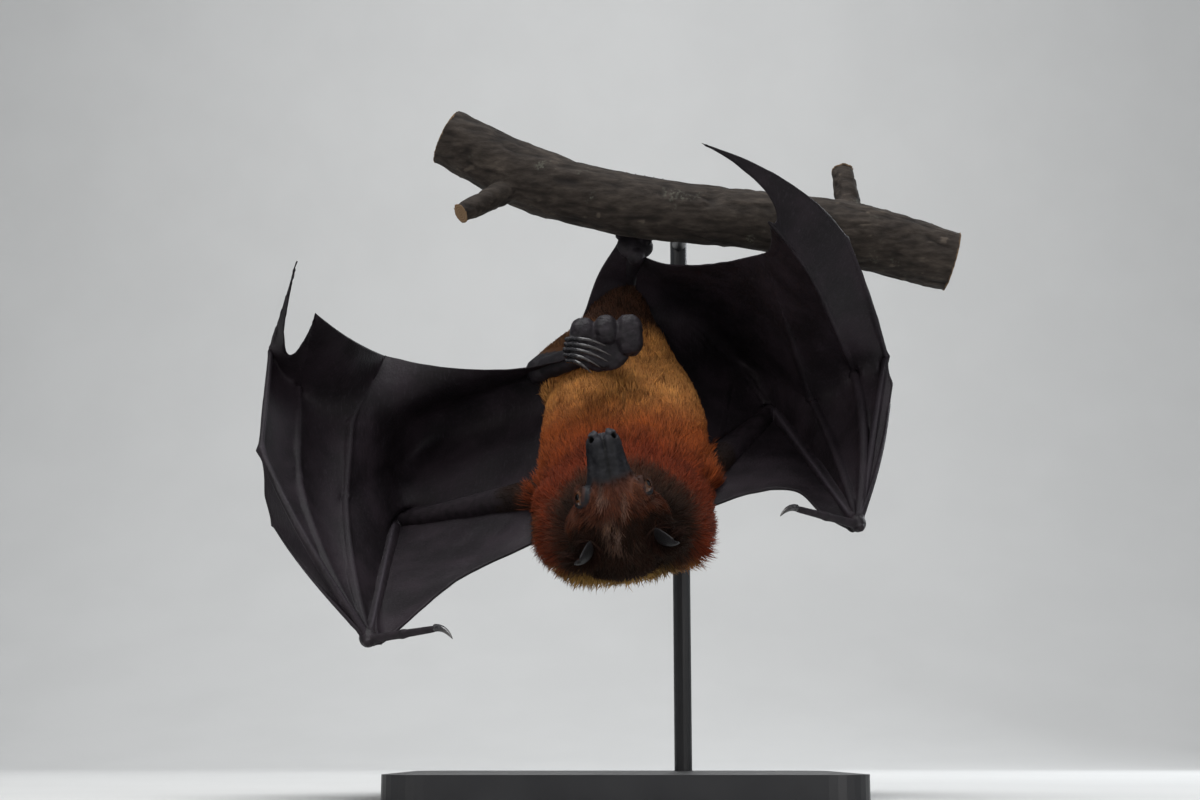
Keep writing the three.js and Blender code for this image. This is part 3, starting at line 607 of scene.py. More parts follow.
# along the head's axis from the crown: half width, height above and below the axis, depth of the coat
HEAD = np.array([
    (0.5, 9, 7, 8, 1.5), (4, 15.5, 11.5, 13, 2.2), (10, 20.5, 15, 17, 2.6), (17, 23.5, 17, 19, 2.8),
    (24, 24.5, 17.2, 19.5, 2.8), (31, 23.5, 16, 18.5, 2.5), (37, 20, 14.2, 17, 1.9),
    (42, 15.8, 12, 15, 1.3), (47, 12.4, 9.8, 13, 0.8), (52, 10.4, 8.4, 11.4, 0.4),
    (58, 9.3, 7.6, 10, 0.3), (63, 8.8, 7.2, 9, 0.3),
    (66.5, 8.0, 6.4, 7.4, 0.3), (68.5, 5.8, 4.6, 5, 0.3)])
NOSTRIL = {"along": 66, "aside": 3.6, "up": 1.2, "radius": 2.9, "length": 4.0}
EYE_PLACE = {"along": 40.5, "aside": 13.2, "up": 4.6, "radius": 5.6}
EYE_OUT = {side: unit(0.80 * side * HEAD_ASIDE + 0.48 * HEAD_UP + 0.36 * HEAD_AHEAD)
           for side in SIDES.values()}
EAR = {"along": 16, "aside": 16.5, "up": 7, "length": 28.5, "wide": 11.6}
EAR_OUT = {side: unit(0.10 * HEAD_AHEAD + side * 0.22 * HEAD_ASIDE + 0.93 * HEAD_UP)
           for side in SIDES.values()}
NOSTRIL_IN = {side: -unit(0.50 * side * HEAD_ASIDE + 0.75 * HEAD_UP + 0.35 * HEAD_AHEAD)
              for side in SIDES.values()}
HEAD_END = 76    # a little beyond the nose
LEG = {side: dict(zip(("hip", "knee", "ankle"), np.array(places, float))) for side, places in {
    "left": [(2, 40, 249), (-33, 23, 226), (15, -10, 236)],
    "right": [(18, 42, 251), (13, 72, 277.5), (19.7, 15.5, 289.5)]}.items()}
TOES = 5
BODY_X = 11      # where the body's middle plane stands


def on_head(along, aside, up):
    along, aside, up = (np.asarray(x, float)[..., None] for x in (along, aside, up))
    return CROWN + along * HEAD_AHEAD + aside * HEAD_ASIDE + up * HEAD_UP


def head_place(points):
    """Along the head's axis, to its side and above it."""
    away = points - CROWN
    return away @ HEAD_AHEAD, away @ HEAD_ASIDE, away @ HEAD_UP


TAIL, NAPE = BODY[0, :3], BODY[-1, :3]
HEADWARD = unit(NAPE - TAIL)
BELLYWARD = squared(np.array([0.0, -1, 0]), HEADWARD)


def body_place(points):
    """Along the body from the tail end to the nape, to its side, and from its middle line bellyward."""
    middles = smooth_run(BODY, 60)[:, :3] - TAIL
    down, forward = (points - TAIL) @ HEADWARD, (points - TAIL) @ BELLYWARD
    line = np.interp(down, middles @ HEADWARD, middles @ BELLYWARD)
    return down, points[..., 0] - BODY_X, forward - line


def body_rows():
    """The bare body's rings: their middles, the ways ahead, aside and back, and their half sizes."""
    rows = smooth_run(BODY, 60)
    for row, ahead in zip(rows, unit(np.gradient(rows[:, :3], axis=0))):
        aside = squared(np.array([1.0, 0, 0]), ahead)
        wide, deep = np.maximum(row[3:5] - row[5], 2)
        yield row[:3], ahead, aside, np.cross(ahead, aside), wide, deep


def body_shapes(shapes):
    turn = np.linspace(0, 2 * np.pi, 72, endpoint=False)
    shapes.rings([middle + np.outer(wide * np.cos(turn), aside) + np.outer(deep * np.sin(turn), back)
                  for middle, _, aside, back, wide, deep in body_rows()])


def body_distance(points):
    """About how far outside the body's skin points are."""
    best = np.full(len(points), FAR)
    for middle, ahead, aside, back, wide, deep in body_rows():
        away = points - middle
        reach = np.hypot((away @ aside) / wide, (away @ back) / deep)
        best = np.minimum(best, np.maximum((reach - 1) * min(wide, deep), np.abs(away @ ahead) - 3.0))
    return best


def head_shapes(shapes):
    turn = np.linspace(0, 2 * np.pi, 64, endpoint=False)
    rings = []
    for along, wide, above, below, coat in smooth_run(HEAD, 70):
        tall = np.where(np.sin(turn) > 0, above, below) - coat
        rings.append(on_head(np.full(64, along), (wide - coat) * np.cos(turn), tall * np.sin(turn)))
    shapes.rings(rings)
    n = NOSTRIL
    for side in SIDES.values():
        line = on_head(np.linspace(n["along"] - 5, n["along"] + n["length"], 8),
                       side * np.linspace(n["aside"] - 0.8, n["aside"] + 0.9, 8),
                       np.linspace(0.2, n["up"] + 0.6, 8))
        shapes.tube(line, np.linspace(n["radius"] + 0.3, n["radius"] - 0.5, 8), round_ends=False)
        shapes.rings(ear_rings(side))


def ear_rings(side):
    """A pointed leaf, cupped round its own length, as flat rings from its root to its tip."""
    e, lie = EAR, EAR_OUT[side]
    facing = squared(HEAD_AHEAD + side * 1.1 * HEAD_ASIDE, lie)
    across = np.cross(lie, facing)
    roll = np.concatenate([np.linspace(-1.35, 1.35, 24), np.linspace(1.35, -1.35, 24)])
    rings = []
    for u in np.linspace(0, 0.985, 26):
        wide = e["wide"] / 2 * np.sin(np.pi * (0.20 + 0.78 * u)) ** 0.7
        half = np.maximum(wide + np.repeat([0.75, -0.75], 24) * (1 - 0.25 * u), 0.3)
        rings.append(on_head(e["along"], side * e["aside"], e["up"]) + lie * e["length"] * u
                     + np.outer(half * np.sin(roll), across)
                     + np.outer(half * (0.0 - np.cos(roll)), facing)
                     + facing * wide * 0.55)
    return rings


def leg_shapes(shapes):
    for side in SIDES:
        hip, knee, ankle = LEG[side].values()
        thigh = np.interp(np.linspace(0, 1, 12), [0, 0.5, 1], [12.5, 11.5, 7.6])
        shapes.tube(np.linspace(hip, knee, 12), thigh, 28)
        if side == "left":
            shapes.lump((-21, 24, 213), (9, 8, 13))
        calf = np.interp(np.linspace(0, 1, 14), [0, 0.25, 0.7, 1], [6.3, 6.6, 4.4, 4.4])
        shapes.tube(np.linspace(knee, ankle, 14), calf, 28)


# the branch, and the directions round it where the foot holds it
PERCH = np.array([(-84, 0, 352, 16.5), (-33, 0, 326, 18.5), (21, 0, 312, 17.5), (86, 0, 304, 17),
                  (140, 0, 295, 18.5), (190, 0, 281, 17)], float)
TWIGS = [((136, 0, 297), (134, 14, 338), 9.0, 6.6), ((-40, -2, 326), (-74, -22, 301), 8.0, 6.1)]
HOLD_ALONG = unit(PERCH[3, :3] - PERCH[1, :3])
HOLD_BACK = np.array([0.0, 1, 0])
HOLD_UP = unit(-np.cross(HOLD_BACK, HOLD_ALONG))
# how far from the branch's middle line the toes lie and how far apart, and the turns round it, in
# degrees, where the foot's pad, the toes and the claws begin and end
GRIP = {"radius": 20.1, "spread": 5.0, "pad": -48, "base": -44, "toe": 38, "claw": 84,
        "claw_radius": 18.9}
GRIP_REACH = 36


def round_perch(offset, turn, radius):
    turn = np.radians(turn)
    offset, turn, radius = np.broadcast_arrays(*(np.asarray(x, float) for x in (offset, turn, radius)))
    return (PERCH[2, :3] + offset[..., None] * HOLD_ALONG + (radius * np.cos(turn))[..., None] * HOLD_BACK
            + (radius * np.sin(turn))[..., None] * HOLD_UP)


def toe_offset(k):
    return (k - (TOES - 1) / 2) * GRIP["spread"]


def holding_foot_shapes(shapes):
    ankle = LEG["right"]["ankle"] - (0, 0, 1)
    shapes.lump(ankle, (4.9, 4.9, 4.9))
    ahead = round_perch(0, GRIP["pad"] + 14, GRIP["radius"]) - ankle
    out = flat_to(round_perch(0, GRIP["pad"], 1) - PERCH[2, :3], unit(ahead))
    axes = np.array([unit(ahead), unit(np.cross(out, ahead)), unit(out)])
    shapes.lump(ankle + ahead * 0.5, (np.linalg.norm(ahead) * 0.64, 10.4, 3.8), axes)
    share = np.linspace(0, 1, 14)
    knuckles = 0.32 * (hump(share, 0.32, 0.08) + hump(share, 0.68, 0.08) + hump(share, 0.96, 0.08))
    for k in range(TOES):
        line = round_perch(toe_offset(k) * (0.85 + 0.15 * share), mix(GRIP["base"], GRIP["toe"], share),
                           GRIP["radius"])
        shapes.tube(line, 1.75 + knuckles, 16)


def holding_claw(k):
    share = np.linspace(0, 1, 18)
    return round_perch(toe_offset(k), mix(GRIP["toe"] + 1, GRIP["claw"], share),
                       mix(GRIP["radius"] + 1.2, GRIP["claw_radius"], share**2))


# the free foot is closed like a fist: heel, two knuckles, the curled toes below, and what lies between
# them. Its claws hook out from the outer end across the front: x and z of their roots and tips
FIST = [((15.2, -17, 236), (7.4, 7.6, 11.0)), ((3.1, -19, 238), (6.8, 6.6, 8.6)),
        ((-9, -18.5, 237), (7.2, 6.2, 8.4)), ((0, -16.0, 226.5), (15.6, 5.4, 9.6)),
        ((-3, -17, 236), (6, 5.6, 7.6))]
FIST_Z = 228     # the closed foot's middle height
FREE_CLAWS = [((-17.7, 232.6), (3.6, 227.9)), ((-18.2, 230.0), (6.2, 222.9)),
              ((-18.7, 227.2), (4.6, 219.6)), ((-18.4, 224.2), (0.5, 216.6)),
              ((-17.1, 221.2), (-4.1, 213.6))]


def closed_foot_shapes(shapes):
    for (middle, sizes), square in zip(FIST, (0.72, 0.9, 0.9, 1.0, 1.0)):
        shapes.lump(middle, sizes, square=square)
    for k, ((x, z), _) in enumerate(FREE_CLAWS):
        line = smooth_run([(9.5 - k, -16.5, 235.5 - 3.6 * k), (3 - 0.5 * k, -20.2, 233.5 - 3.5 * k),
                           (-7.5, -21.4, z + 1.6), (-14.5, -21.6, z + 0.8), (x + 0.8, -21.2, z)], 16)
        shapes.tube(line, np.interp(np.linspace(0, 1, 16), [0, 0.35, 0.7, 1], [1.8, 1.6, 1.75, 1.4]), 14)


def free_claw(k):
    (x, z), (tip_x, tip_z) = FREE_CLAWS[k]
    share = np.linspace(0, 1, 18)
    arch = smooth_run(np.array([-23, -29, -30.5, -27])[:, None], 18)[:, 0]
    return np.stack([mix(x, tip_x, share), arch, mix(z, tip_z, share**1.3)], -1)


def arm_shapes(shapes):
    for side, wing in WINGS.items():
        share = np.linspace(0, 1, 24)
        shapes.tube(mix(wing.shoulder, wing.elbow, share[:, None]),
                    np.interp(share, [0, 0.45, 0.9, 1], [10.4, 8.0, 5.4, 5.8]), 28)
        shapes.tube(mix(wing.elbow, wing.wrist, share[:, None]),
                    np.interp(share, [0, 0.06, 0.3, 0.8, 1], [5.6, 6.0, 5.0, 3.5, 3.6]), 24)
        shapes.tube(wing.wrist + np.outer(np.linspace(-5, 3.6, 8), heading(side, "forearm")),
                    [3.4, 4.1, 4.4, 4.3, 4.0, 3.5, 2.8, 2.0], 20)
        for number in (3, 5):
            toward = unit(wing.joints[number][1] - wing.wrist)
            shapes.lump(wing.wrist + 4.2 * toward, (2.6, 2.6, 2.6))
        shapes.tube(np.linspace(wing.wrist, wing.thumb, 14),
                    np.interp(np.linspace(0, 1, 14), [0, 0.2, 0.45, 0.53, 0.6, 1],
                              [2.8, 2.1, 1.9, 2.4, 1.9, 1.6]), 16)


def creased_foot(points):
    """Lumps and wrinkles over the closed foot."""
    x, y, z = points.T
    here = (np.abs(z - FIST_Z) < 22) & (y < -6) & (x > -30) & (x < 28)
    folds = np.clip(0.20 - np.abs(lumps(points * (1, 1, 1.5), 5.0, 71)), 0, 1) * 4
    return here * (0.40 * lumps(points, 4.2, 72) + 0.22 * lumps(points, 1.7, 73) - 0.28 * folds)


def round_forearm(points, wing):
    """How far along the forearm points are, and their turn round it from the side the viewer sees."""
    off, t = limb_distance(points, wing.elbow, wing.wrist)
    ahead = unit(wing.wrist - wing.elbow)
    seen = squared(np.array([0.0, -1, 0.15]), ahead)
    away = points - wing.elbow
    return off, t, np.arctan2(away @ np.cross(ahead, seen), away @ seen)


def tendons(points):
    """Two cords under the skin along the front of each forearm, from 0 to 1."""
    cords = np.zeros(len(points))
    for wing in WINGS.values():
        off, t, turn = round_forearm(points, wing)
        here = (off < 8) * ease(0.02, 0.10, t) * (1 - ease(0.90, 0.99, t))
        cords = np.maximum(cords, here * np.maximum(hump(turn, 0.62, 0.26), 0.8 * hump(turn, -0.45, 0.2)))
    return cords


EYE_GAP = (0.78, 0.56)    # how far the lids open from the eye's middle, in radians, lengthwise and across
NOSTRIL_OPENING = {"along": 67.6, "aside": 5.4, "up": 3.5, "radius": 1.6, "deep": 2.8}


def eye_axes(side):
    """The eye's middle, the way it looks, and the ways across it, lengthwise first."""
    e, out = EYE_PLACE, EYE_OUT[side]
    ahead = squared(HEAD_AHEAD, out)
    return on_head(e["along"], side * e["aside"], e["up"]), out, ahead, np.cross(out, ahead)


def round_eye(points, side):
    """The eye's middle, how far points are from it, and how far out from the middle of the gap between
    the lids they lie, where 1 is the lids' edge."""
    middle, out, ahead, across = eye_axes(side)
    away = points - middle
    aim = unit(away)
    turn = np.arctan2(aim @ across, aim @ ahead)
    gap = np.hypot(np.cos(turn) / EYE_GAP[0], np.sin(turn) / EYE_GAP[1])
    rim = np.arccos(np.clip(aim @ out, -1, 1)) * gap
    near = (away @ out > -2) & (np.linalg.norm(away, axis=1) < 12)
    return middle, away, np.where(near, rim, 9.0)


def sculpt_head(points, normals):
    """The folds of the face: lids round the eyes, a mouth line, and the nose's grooves and openings."""
    along, aside, up = head_place(points)
    on = (np.abs(aside) < 30) & (along > -6) & (along < HEAD_END) & (np.abs(up) < 30)
    wide, lip = np.abs(aside), -3.4 - 0.10 * (66 - along)
    # between the nostrils, and along the bridge
    push = -1.3 * hump(aside, 0, 1.3) * ease(60, 65, along) * (up > -2)
    push -= 0.75 * hump(aside, 0, 1.1) * ease(45, 52, along) * (up > 0)
    # the bridge's two ridges, and the hollows beside them
    push += 0.55 * hump(wide, 3.6, 1.8) * ease(46, 54, along) * (up > 0)
    push -= 0.70 * hump(wide, 7.4, 1.5) * hump(along, 55, 7) * (up > 0)
    # the mouth line, the upper lip, and the brows
    push -= 0.85 * hump(up, lip, 0.75) * ease(43, 47, along) * (wide > 2)
    push += 0.45 * hump(up, lip + 1.8, 1.2) * ease(46, 52, along)
    push += 1.3 * hump(wide, 9.0, 3.4) * hump(along, 35, 5.0) * (up > 2)
    # fine rings round the muzzle, and small lumps
    rings = np.sin(along * 2.1 + 0.5 * wide) * ease(48, 52, along)
    push -= 0.16 * rings * (1 - ease(61, 64, along)) * (up > -2)
    push += 0.22 * lumps(points, 1.6, 51) * ease(44, 50, along)
    points = points + normals * (push * on)[:, None]
    for side in SIDES.values():
        middle, away, rim = round_eye(points, side)
        distance = np.linalg.norm(away, axis=1)
        lids = EYE_PLACE["radius"] + 0.45 + 0.55 * hump(rim, 1.16, 0.16) - 0.45 * hump(rim, 1.55, 0.12)
        covered = distance + 0.7 * np.log1p(np.exp(np.clip((lids - distance) / 0.7, -30, 30)))
        pull = (1 - ease(1.3, 1.7, rim)) * (1 - ease(8.5, 11, distance))
        wanted = np.where(rim < 1, EYE_PLACE["radius"] - 1.4, mix(covered, lids, pull))
        near = (rim < 9) * (1 - ease(9, 12, distance))
        points = mix(points, middle + unit(away) * wanted[:, None], near[:, None])
        off, before = from_hole(points, side)
        rim = 0.5 * hump(off, 2.3, 0.6) * (np.abs(before) < 3)
        deep = NOSTRIL_OPENING["deep"] * (1 - ease(0.75, 1.75, off)) * (np.abs(before) < 3)
        points = points + NOSTRIL_IN[side] * (deep - rim)[:, None]
    return points


def from_hole(points, side):
    """How far points are from the middle line of a nostril's opening, and how far before its mouth."""
    n, into = NOSTRIL_OPENING, NOSTRIL_IN[side]
    away = points - on_head(n["along"], side * n["aside"], n["up"])
    before = away @ into
    return np.linalg.norm(away - np.outer(before, into), axis=1), before


# ------------------------------------------------------------------ the wings' skin
MEMBRANE = 0.36     # half the wing skin's thickness
WEB = {"left": {3: (0.80, 0.6, 4), 4: (0.04, 1, 6)}, "right": {3: (0.30, 0.8, 4), 4: (0.10, 1, 5)}}
FLANK = {side: np.array(places, float) for side, places in {
    "left": [(-24, 6, 156), (-27, 14, 182), (-22, 30, 210), (-31, 24, 228), (-8, 6, 233), (17, -13, 238)],
    "right": [(50, 6, 164), (44, 22, 197), (36, 36, 223), (28, 45, 246), (21, 50, 264), (20, 42, 278),
              (22, 18, 290)]}.items()}
EDGE_SAG = {"left": (5, 4, -12), "right": (-4, 4, -5)}
FLIGHT_BILLOW = 7
LEADING = {
    "left": [(-30, -22, 128), (-53.5, -35, 115.4), (-70.1, -50, 104.9), (-82.6, -70, 91),
             (-101, -93, 71)],
    "right": [(54, -22, 144), (77.5, -25, 151.6), (98.3, -35, 151.2), (109.5, -55, 136.8),
              (121, -66, 127.5)]}
LEG_EDGE = [(10, 16, 297), (-1, 28, 281.5), (-9, 40, 262)]
# rows of points beside a bone and over its front, as shares of its radius
BESIDE_BONE = np.array([0, 0.35, 0.65, 0.88, 1.0, 1.18, 1.6, 2.4])
BONE_FRONT = np.array([0.999, 0.88, 0.65, 0.35])


def columns(width, near_radius, far_radius, middle_count):
    """For each row, the distances across a web from one edge's bone to the other's, close together
    beside the bones. A radius of None is an edge with no bone."""
    near = BESIDE_BONE * (near_radius[:, None] if near_radius is not None else 0.5)
    far = BESIDE_BONE * (far_radius[:, None] if far_radius is not None else 0.5)
    near, far = (np.broadcast_to(x, (len(width), len(BESIDE_BONE))) for x in (near, far))
    squeeze = np.minimum(1, width / (1.25 * (near[:, -1] + far[:, -1]) + 1e-6))[:, None]
    near, far = near * squeeze, width[:, None] - (far * squeeze)[:, ::-1]
    share = np.linspace(0, 1, middle_count + 2)[None, 1:-1]
    return np.concatenate([near, mix(near[:, -1:], far[:, :1], share), far], 1)


def bone_half(distance, radius):
    """Half the skin's thickness at a distance from a bone's middle line."""
    round_ = np.sqrt(np.clip(radius**2 - distance**2, 0, None))
    fillet = 0.55 * radius * np.exp(-np.clip(distance - 0.8 * radius, 0, None) / (0.55 * radius))
    return np.maximum(round_, MEMBRANE + fillet * (distance > 0.6 * radius))


def bone_front(line, out, radius):
    """The rounded front of a bone at a sheet's edge: its points, and half its thickness at each."""
    return (line[:, None] + out[:, None] * (BONE_FRONT[None, :] * radius[:, None])[..., None],
            radius[:, None] * np.sqrt(1 - BONE_FRONT**2)[None, :])


def two_sided(points, half):
    """A closed skin from a grid of points and half its thickness at each."""
    rows, cols = half.shape
    across = np.gradient(points, axis=1)
    along = np.gradient(points, axis=0)
    normal = unit(np.cross(along, across))
    both = np.concatenate([(points + normal * half[..., None]).reshape(-1, 3),
                           (points - normal * half[..., None]).reshape(-1, 3)])
    top = np.arange(rows * cols).reshape(rows, cols)
    under = top + rows * cols
    quads = [np.stack(corners, -1).reshape(-1, 4) for corners in (
        [top[:-1, :-1], top[1:, :-1], top[1:, 1:], top[:-1, 1:]],
        [under[:-1, :-1], under[:-1, 1:], under[1:, 1:], under[1:, :-1]])]
    loop = np.concatenate([top[0, :-1], top[:-1, -1], top[-1, :0:-1], top[:0:-1, 0]])
    ahead = np.roll(loop, -1)
    quads.append(np.stack([loop, ahead, ahead + rows * cols, loop + rows * cols], -1))
    return both, np.concatenate(quads)


def relaxed(points, held, times):
    """A grid pulled taut like a stretched skin, with the held points left in place."""
    free = ~held
    for _ in range(times):
        mean = points.copy()
        mean[1:-1, 1:-1] = (points[2:, 1:-1] + points[:-2, 1:-1]
                            + points[1:-1, 2:] + points[1:-1, :-2]) / 4
        points = np.where(free[..., None], mean, points)
    return points


def finger_web(wing, number, t, radius):
    """The skin between a finger and the next one: its points, and half its thickness at each."""
    draw, hollow, billow = WEB[wing.side][number]
    spread = [wing.joints[n][1] - wing.joints[n][0] for n in (number, number + 1)]
    swell = unit(np.cross(*spread))
    swell = swell * (1 if swell[1] > 0 else -1)
    width = np.linalg.norm(wing.finger(number, t) - wing.finger(number + 1, t), axis=1)
    distance = columns(width, radius[number], radius[number + 1], 26)
    v = distance / np.maximum(width, 1e-6)[:, None]
    bow = 4 * v * (1 - v)
    tt = np.repeat(t[:, None], v.shape[1], 1)
    tt = np.where(tt > 2, 2 + (tt - 2) * (1 - draw * np.clip(bow, 0, 1) ** hollow), tt)
    points = mix(wing.finger(number, tt), wing.finger(number + 1, tt), v[..., None])
    points = points + swell * (billow * bow * np.sin(np.pi * tt / 3))[..., None]
    return points, np.maximum(bone_half(distance, radius[number][:, None]),
                              bone_half(width[:, None] - distance, radius[number + 1][:, None]))


def flight_skin(side):
    """The wing skin from the third finger to the flank as one sheet, with its fingers swollen into it.
    Like the other sheets it comes as middle points, half its thickness, and the painted highlight on its
    bones."""
    wing = WINGS[side]
    t = np.concatenate([np.linspace(0.0, 1, 52)[:-1], np.linspace(1, 2, 38)[:-1], np.linspace(2, 3, 46)])
    radius = {n: wing.thickness(n, t) for n in (3, 4, 5)}

    def arm_line(v):
        low = mix(wing.wrist, wing.elbow, np.clip(2 * v, 0, 1)[..., None])
        return np.where((v < 0.5)[..., None], low,
                        mix(wing.elbow, armpit, np.clip(2 * v - 1, 0, 1)[..., None]))

    armpit, ankle = FLANK[side][[0, -1]]
    first, first_half = finger_web(wing, 3, t, radius)
    out = unit(wing.finger(3, t) - wing.finger(4, t + 1e-3))
    out[0] = out[1]
    lead, lead_half = bone_front(wing.finger(3, t), out, radius[3])
    second, second_half = finger_web(wing, 4, t, radius)

    width = np.linalg.norm(wing.finger(5, t) - by_distance(FLANK[side], t / 3), axis=1)
    distance = columns(width, radius[5], None, 52)
    v = distance / width[:, None]
    u = np.repeat((t / 3)[:, None], v.shape[1], 1)
    tip = wing.joints[5][3]
    edge_line = mix(tip, ankle, v[..., None]) + np.array(EDGE_SAG[side]) * (4 * v * (1 - v))[..., None]
    flank = by_distance(FLANK[side], u.ravel()).reshape(*u.shape, 3)
    ruled_u = mix(wing.finger(5, 3 * u), flank, v[..., None])
    ruled_v = mix(arm_line(v), edge_line, u[..., None])
    corners = mix(mix(wing.wrist, armpit, v[..., None]), mix(tip, ankle, v[..., None]), u[..., None])
    third = ruled_u + ruled_v - corners
    third[..., 1] += FLIGHT_BILLOW * np.sin(np.pi * u) * np.sin(np.pi * v)
    third_half = bone_half(distance, radius[5][:, None])
    near_arm = np.linalg.norm(third - arm_line(v), axis=-1)
    third_half = np.maximum(third_half, MEMBRANE + 3.0 * np.exp(-np.clip(near_arm - 4.5, 0, None) / 2.2))

    points = np.concatenate([lead, first, second[:, 1:], third[:, 1:]], 1)
    half = np.concatenate([lead_half, first_half, second_half[:, 1:], third_half[:, 1:]], 1)
    held = half > MEMBRANE + 0.35
    held[:, [0, -1]] = True
    held[[0, -1]] = True
    points = relaxed(points, held, 60)
    # the painted highlight is strongest on the third finger, then on the fourth and fifth, and weakest by
    # the arm
    third_finger = BONE_FRONT.size + BESIDE_BONE.size
    others = lead.shape[1] + first.shape[1] + second.shape[1] - 1 - third_finger
    highlight_share = np.repeat([1.0, 0.30, 0.22], [third_finger, others, third.shape[1] - 1])
    return points, half, ease(MEMBRANE + 0.3, 2.2, half) * highlight_share


def front_skin(side):
    """The skin in front of the arm, from the neck to the wrist."""
    wing = WINGS[side]
    u = np.linspace(0.04, 0.995, 90)
    arm = by_distance([wing.shoulder, wing.elbow, wing.wrist], u)
    lead = by_distance(smooth_run(LEADING[side], 40), u)
    width = np.linalg.norm(lead - arm, axis=1)
    v = np.linspace(0, 1, 34)
    points = mix(arm[:, None], lead[:, None], v[None, :, None])
    distance = width[:, None] * v[None]
    half = MEMBRANE + 2.6 * np.exp(-np.clip(distance - 4.0, 0, None) / 2.0)
    half = np.maximum(half, MEMBRANE + 0.35 * hump(width[:, None] - distance, 0.8, 0.9))
    held = half > MEMBRANE + 0.4
    held[:, [0, -1]] = held[[0, -1]] = True
    return relaxed(points, held, 30), half, np.zeros(half.shape)


def finger_strip(side):
    """The second finger, and the narrow skin between it and the third one's palm."""
    wing = WINGS[side]
    u = np.linspace(0, 1, 70)
    second, third = wing.finger(2, mix(0.02, 2.0, u)), wing.finger(3, mix(0.02, 0.985, u))
    r2, r3 = wing.thickness(2, mix(0.02, 2.0, u)) * 0.85, wing.thickness(3, mix(0.02, 0.985, u)) * 0.8
    second = second + (third - second) * (0.75 * ease(0.72, 1.0, u))[:, None]
    width = np.linalg.norm(second - third, axis=1)
    distance = columns(width, r2, r3, 8)
    v = distance / np.maximum(width, 1e-6)[:, None]
    points = mix(second[:, None], third[:, None], v[..., None])
    out = unit(second - third)
    out[:3] = out[3]
    lead, lead_half = bone_front(second, out, r2)
    half = np.maximum(bone_half(distance, r2[:, None]), bone_half(width[:, None] - distance, r3[:, None]))
    half = np.concatenate([lead_half, half], 1)
    # painted highlight: some over the whole strip, more over its bones
    return np.concatenate([lead, points], 1), half, 0.35 + 0.65 * ease(MEMBRANE + 0.3, 2.2, half)


def leg_skin():
    """The narrow skin inside the bearing leg, from the ankle to the tail end."""
    u = np.linspace(0, 1, 30)
    leg = by_distance([LEG["right"]["ankle"], (15, 40, 280), (10, 45, 256)], u)
    edge = by_distance(smooth_run(LEG_EDGE, 12), u)
    points = mix(leg[:, None], edge[:, None], np.linspace(0, 1, 14)[None, :, None])
    return points, np.full(points.shape[:2], MEMBRANE), np.zeros(points.shape[:2])


# lasting creases in the right wing's skin, in x and z: from, to, how many, how far apart and how deep
CREASES = [((46, 258), (72, 236), 5, 3.4, 0.55), ((75, 228), (66, 190), 1, 5.0, 1.1),
           ((84, 236), (96, 214), 2, 4.0, 0.5)]


def creased(points, normal):
    """A sheet pushed into its creases, which fade out at both ends."""
    push = np.zeros(points.shape[:-1])
    for start, end, count, apart, depth in CREASES:
        start, end = np.array(start, float), np.array(end, float)
        line = unit(end - start)
        away = points[..., [0, 2]] - start
        t = away @ line / np.linalg.norm(end - start)
        aside = away @ np.array([-line[1], line[0]]) + 0.9 * lumps(points, 9, 61)
        fade = ease(-0.1, 0.2, t) * (1 - ease(0.75, 1.1, t))
        for k in range(count):
            off = aside - (k - (count - 1) / 2) * apart
            push += depth * fade * (hump(off, -0.28 * apart, 0.20 * apart)
                                    - hump(off, 0.28 * apart, 0.20 * apart))
    return points + normal * push[..., None]


def wrinkled(points, free):
    """A sheet with soft waves and creases, as strong as it is free of its bones at each point."""
    across, along = np.gradient(points, axis=1), np.gradient(points, axis=0)
    normal = unit(np.cross(along, across))
    normal = normal * np.where(normal[..., 1:2] > 0, -1, 1)
    wave = lumps(points * (1, 1, 0.45), 14, 3) * 0.9 + lumps(points * (1, 1, 0.30), 6, 4) * 0.40
    wave += lumps(points * (0.4, 1, 1.0), 4.5, 5) * 0.16
    return creased(points + normal * (wave * free * 0.7)[..., None], normal * free[..., None])


SKIN_CELL = 0.55     # the size of the cells that the body's shapes grow together in
SKIN_KEPT = 0.32     # the share of their faces that is kept


def skin_mesh():
    """The whole skin: body, head, limbs and wings. The body's own points and triangles come with it."""
    shapes = Shapes()
    for gather in (body_shapes, head_shapes, leg_shapes, holding_foot_shapes, closed_foot_shapes,
                   arm_shapes):
        gather(shapes)
    body = grown_together(shapes.mesh("body"), SKIN_CELL, 3)
    made, normals = sculpt_head(corners_of(body), normals_of(body)), normals_of(body)
    move_to(body, made + normals * (0.55 * tendons(made) + creased_foot(made))[:, None])
    body = thinned(body, SKIN_KEPT)
    body_points, triangles = corners_of(body), triangles_of(body)

    # each sheet, with how far its waves and creases show
    sheets = [(*sheet(side), waves) for side in SIDES
              for sheet, waves in ((flight_skin, 1.0), (front_skin, 0.8), (finger_strip, 0.0))]
    # painted highlight: on the body along the forearms' tendons, and on each sheet along its bones
    points, quads, painted_highlight = [body_points], [], [tendons(body_points)]
    for grid, half, pale, waves in sheets + [(*leg_skin(), 0.0)]:
        free = waves * np.clip((MEMBRANE + 0.5 - half) / 0.4, 0, 1)
        made, faces = two_sided(wrinkled(grid, free), half)
        quads.append(faces + sum(len(p) for p in points))
        points.append(made)
        painted_highlight.append(np.tile(pale.ravel(), 2))
    quads = np.concatenate(quads)
    mesh = make_mesh("skin", np.concatenate(points), [triangles, quads])
    leathery = np.repeat([0, 1], [len(triangles), len(quads)])
    mesh.polygons.foreach_set("material_index", leathery.astype(np.int32))
    mark(mesh, "painted_highlight", np.concatenate(painted_highlight))
    return mesh, body_points, triangles


# ------------------------------------------------------------------ markings of skin and coat
HEAD_MIDDLE = on_head(26, 0, 0)


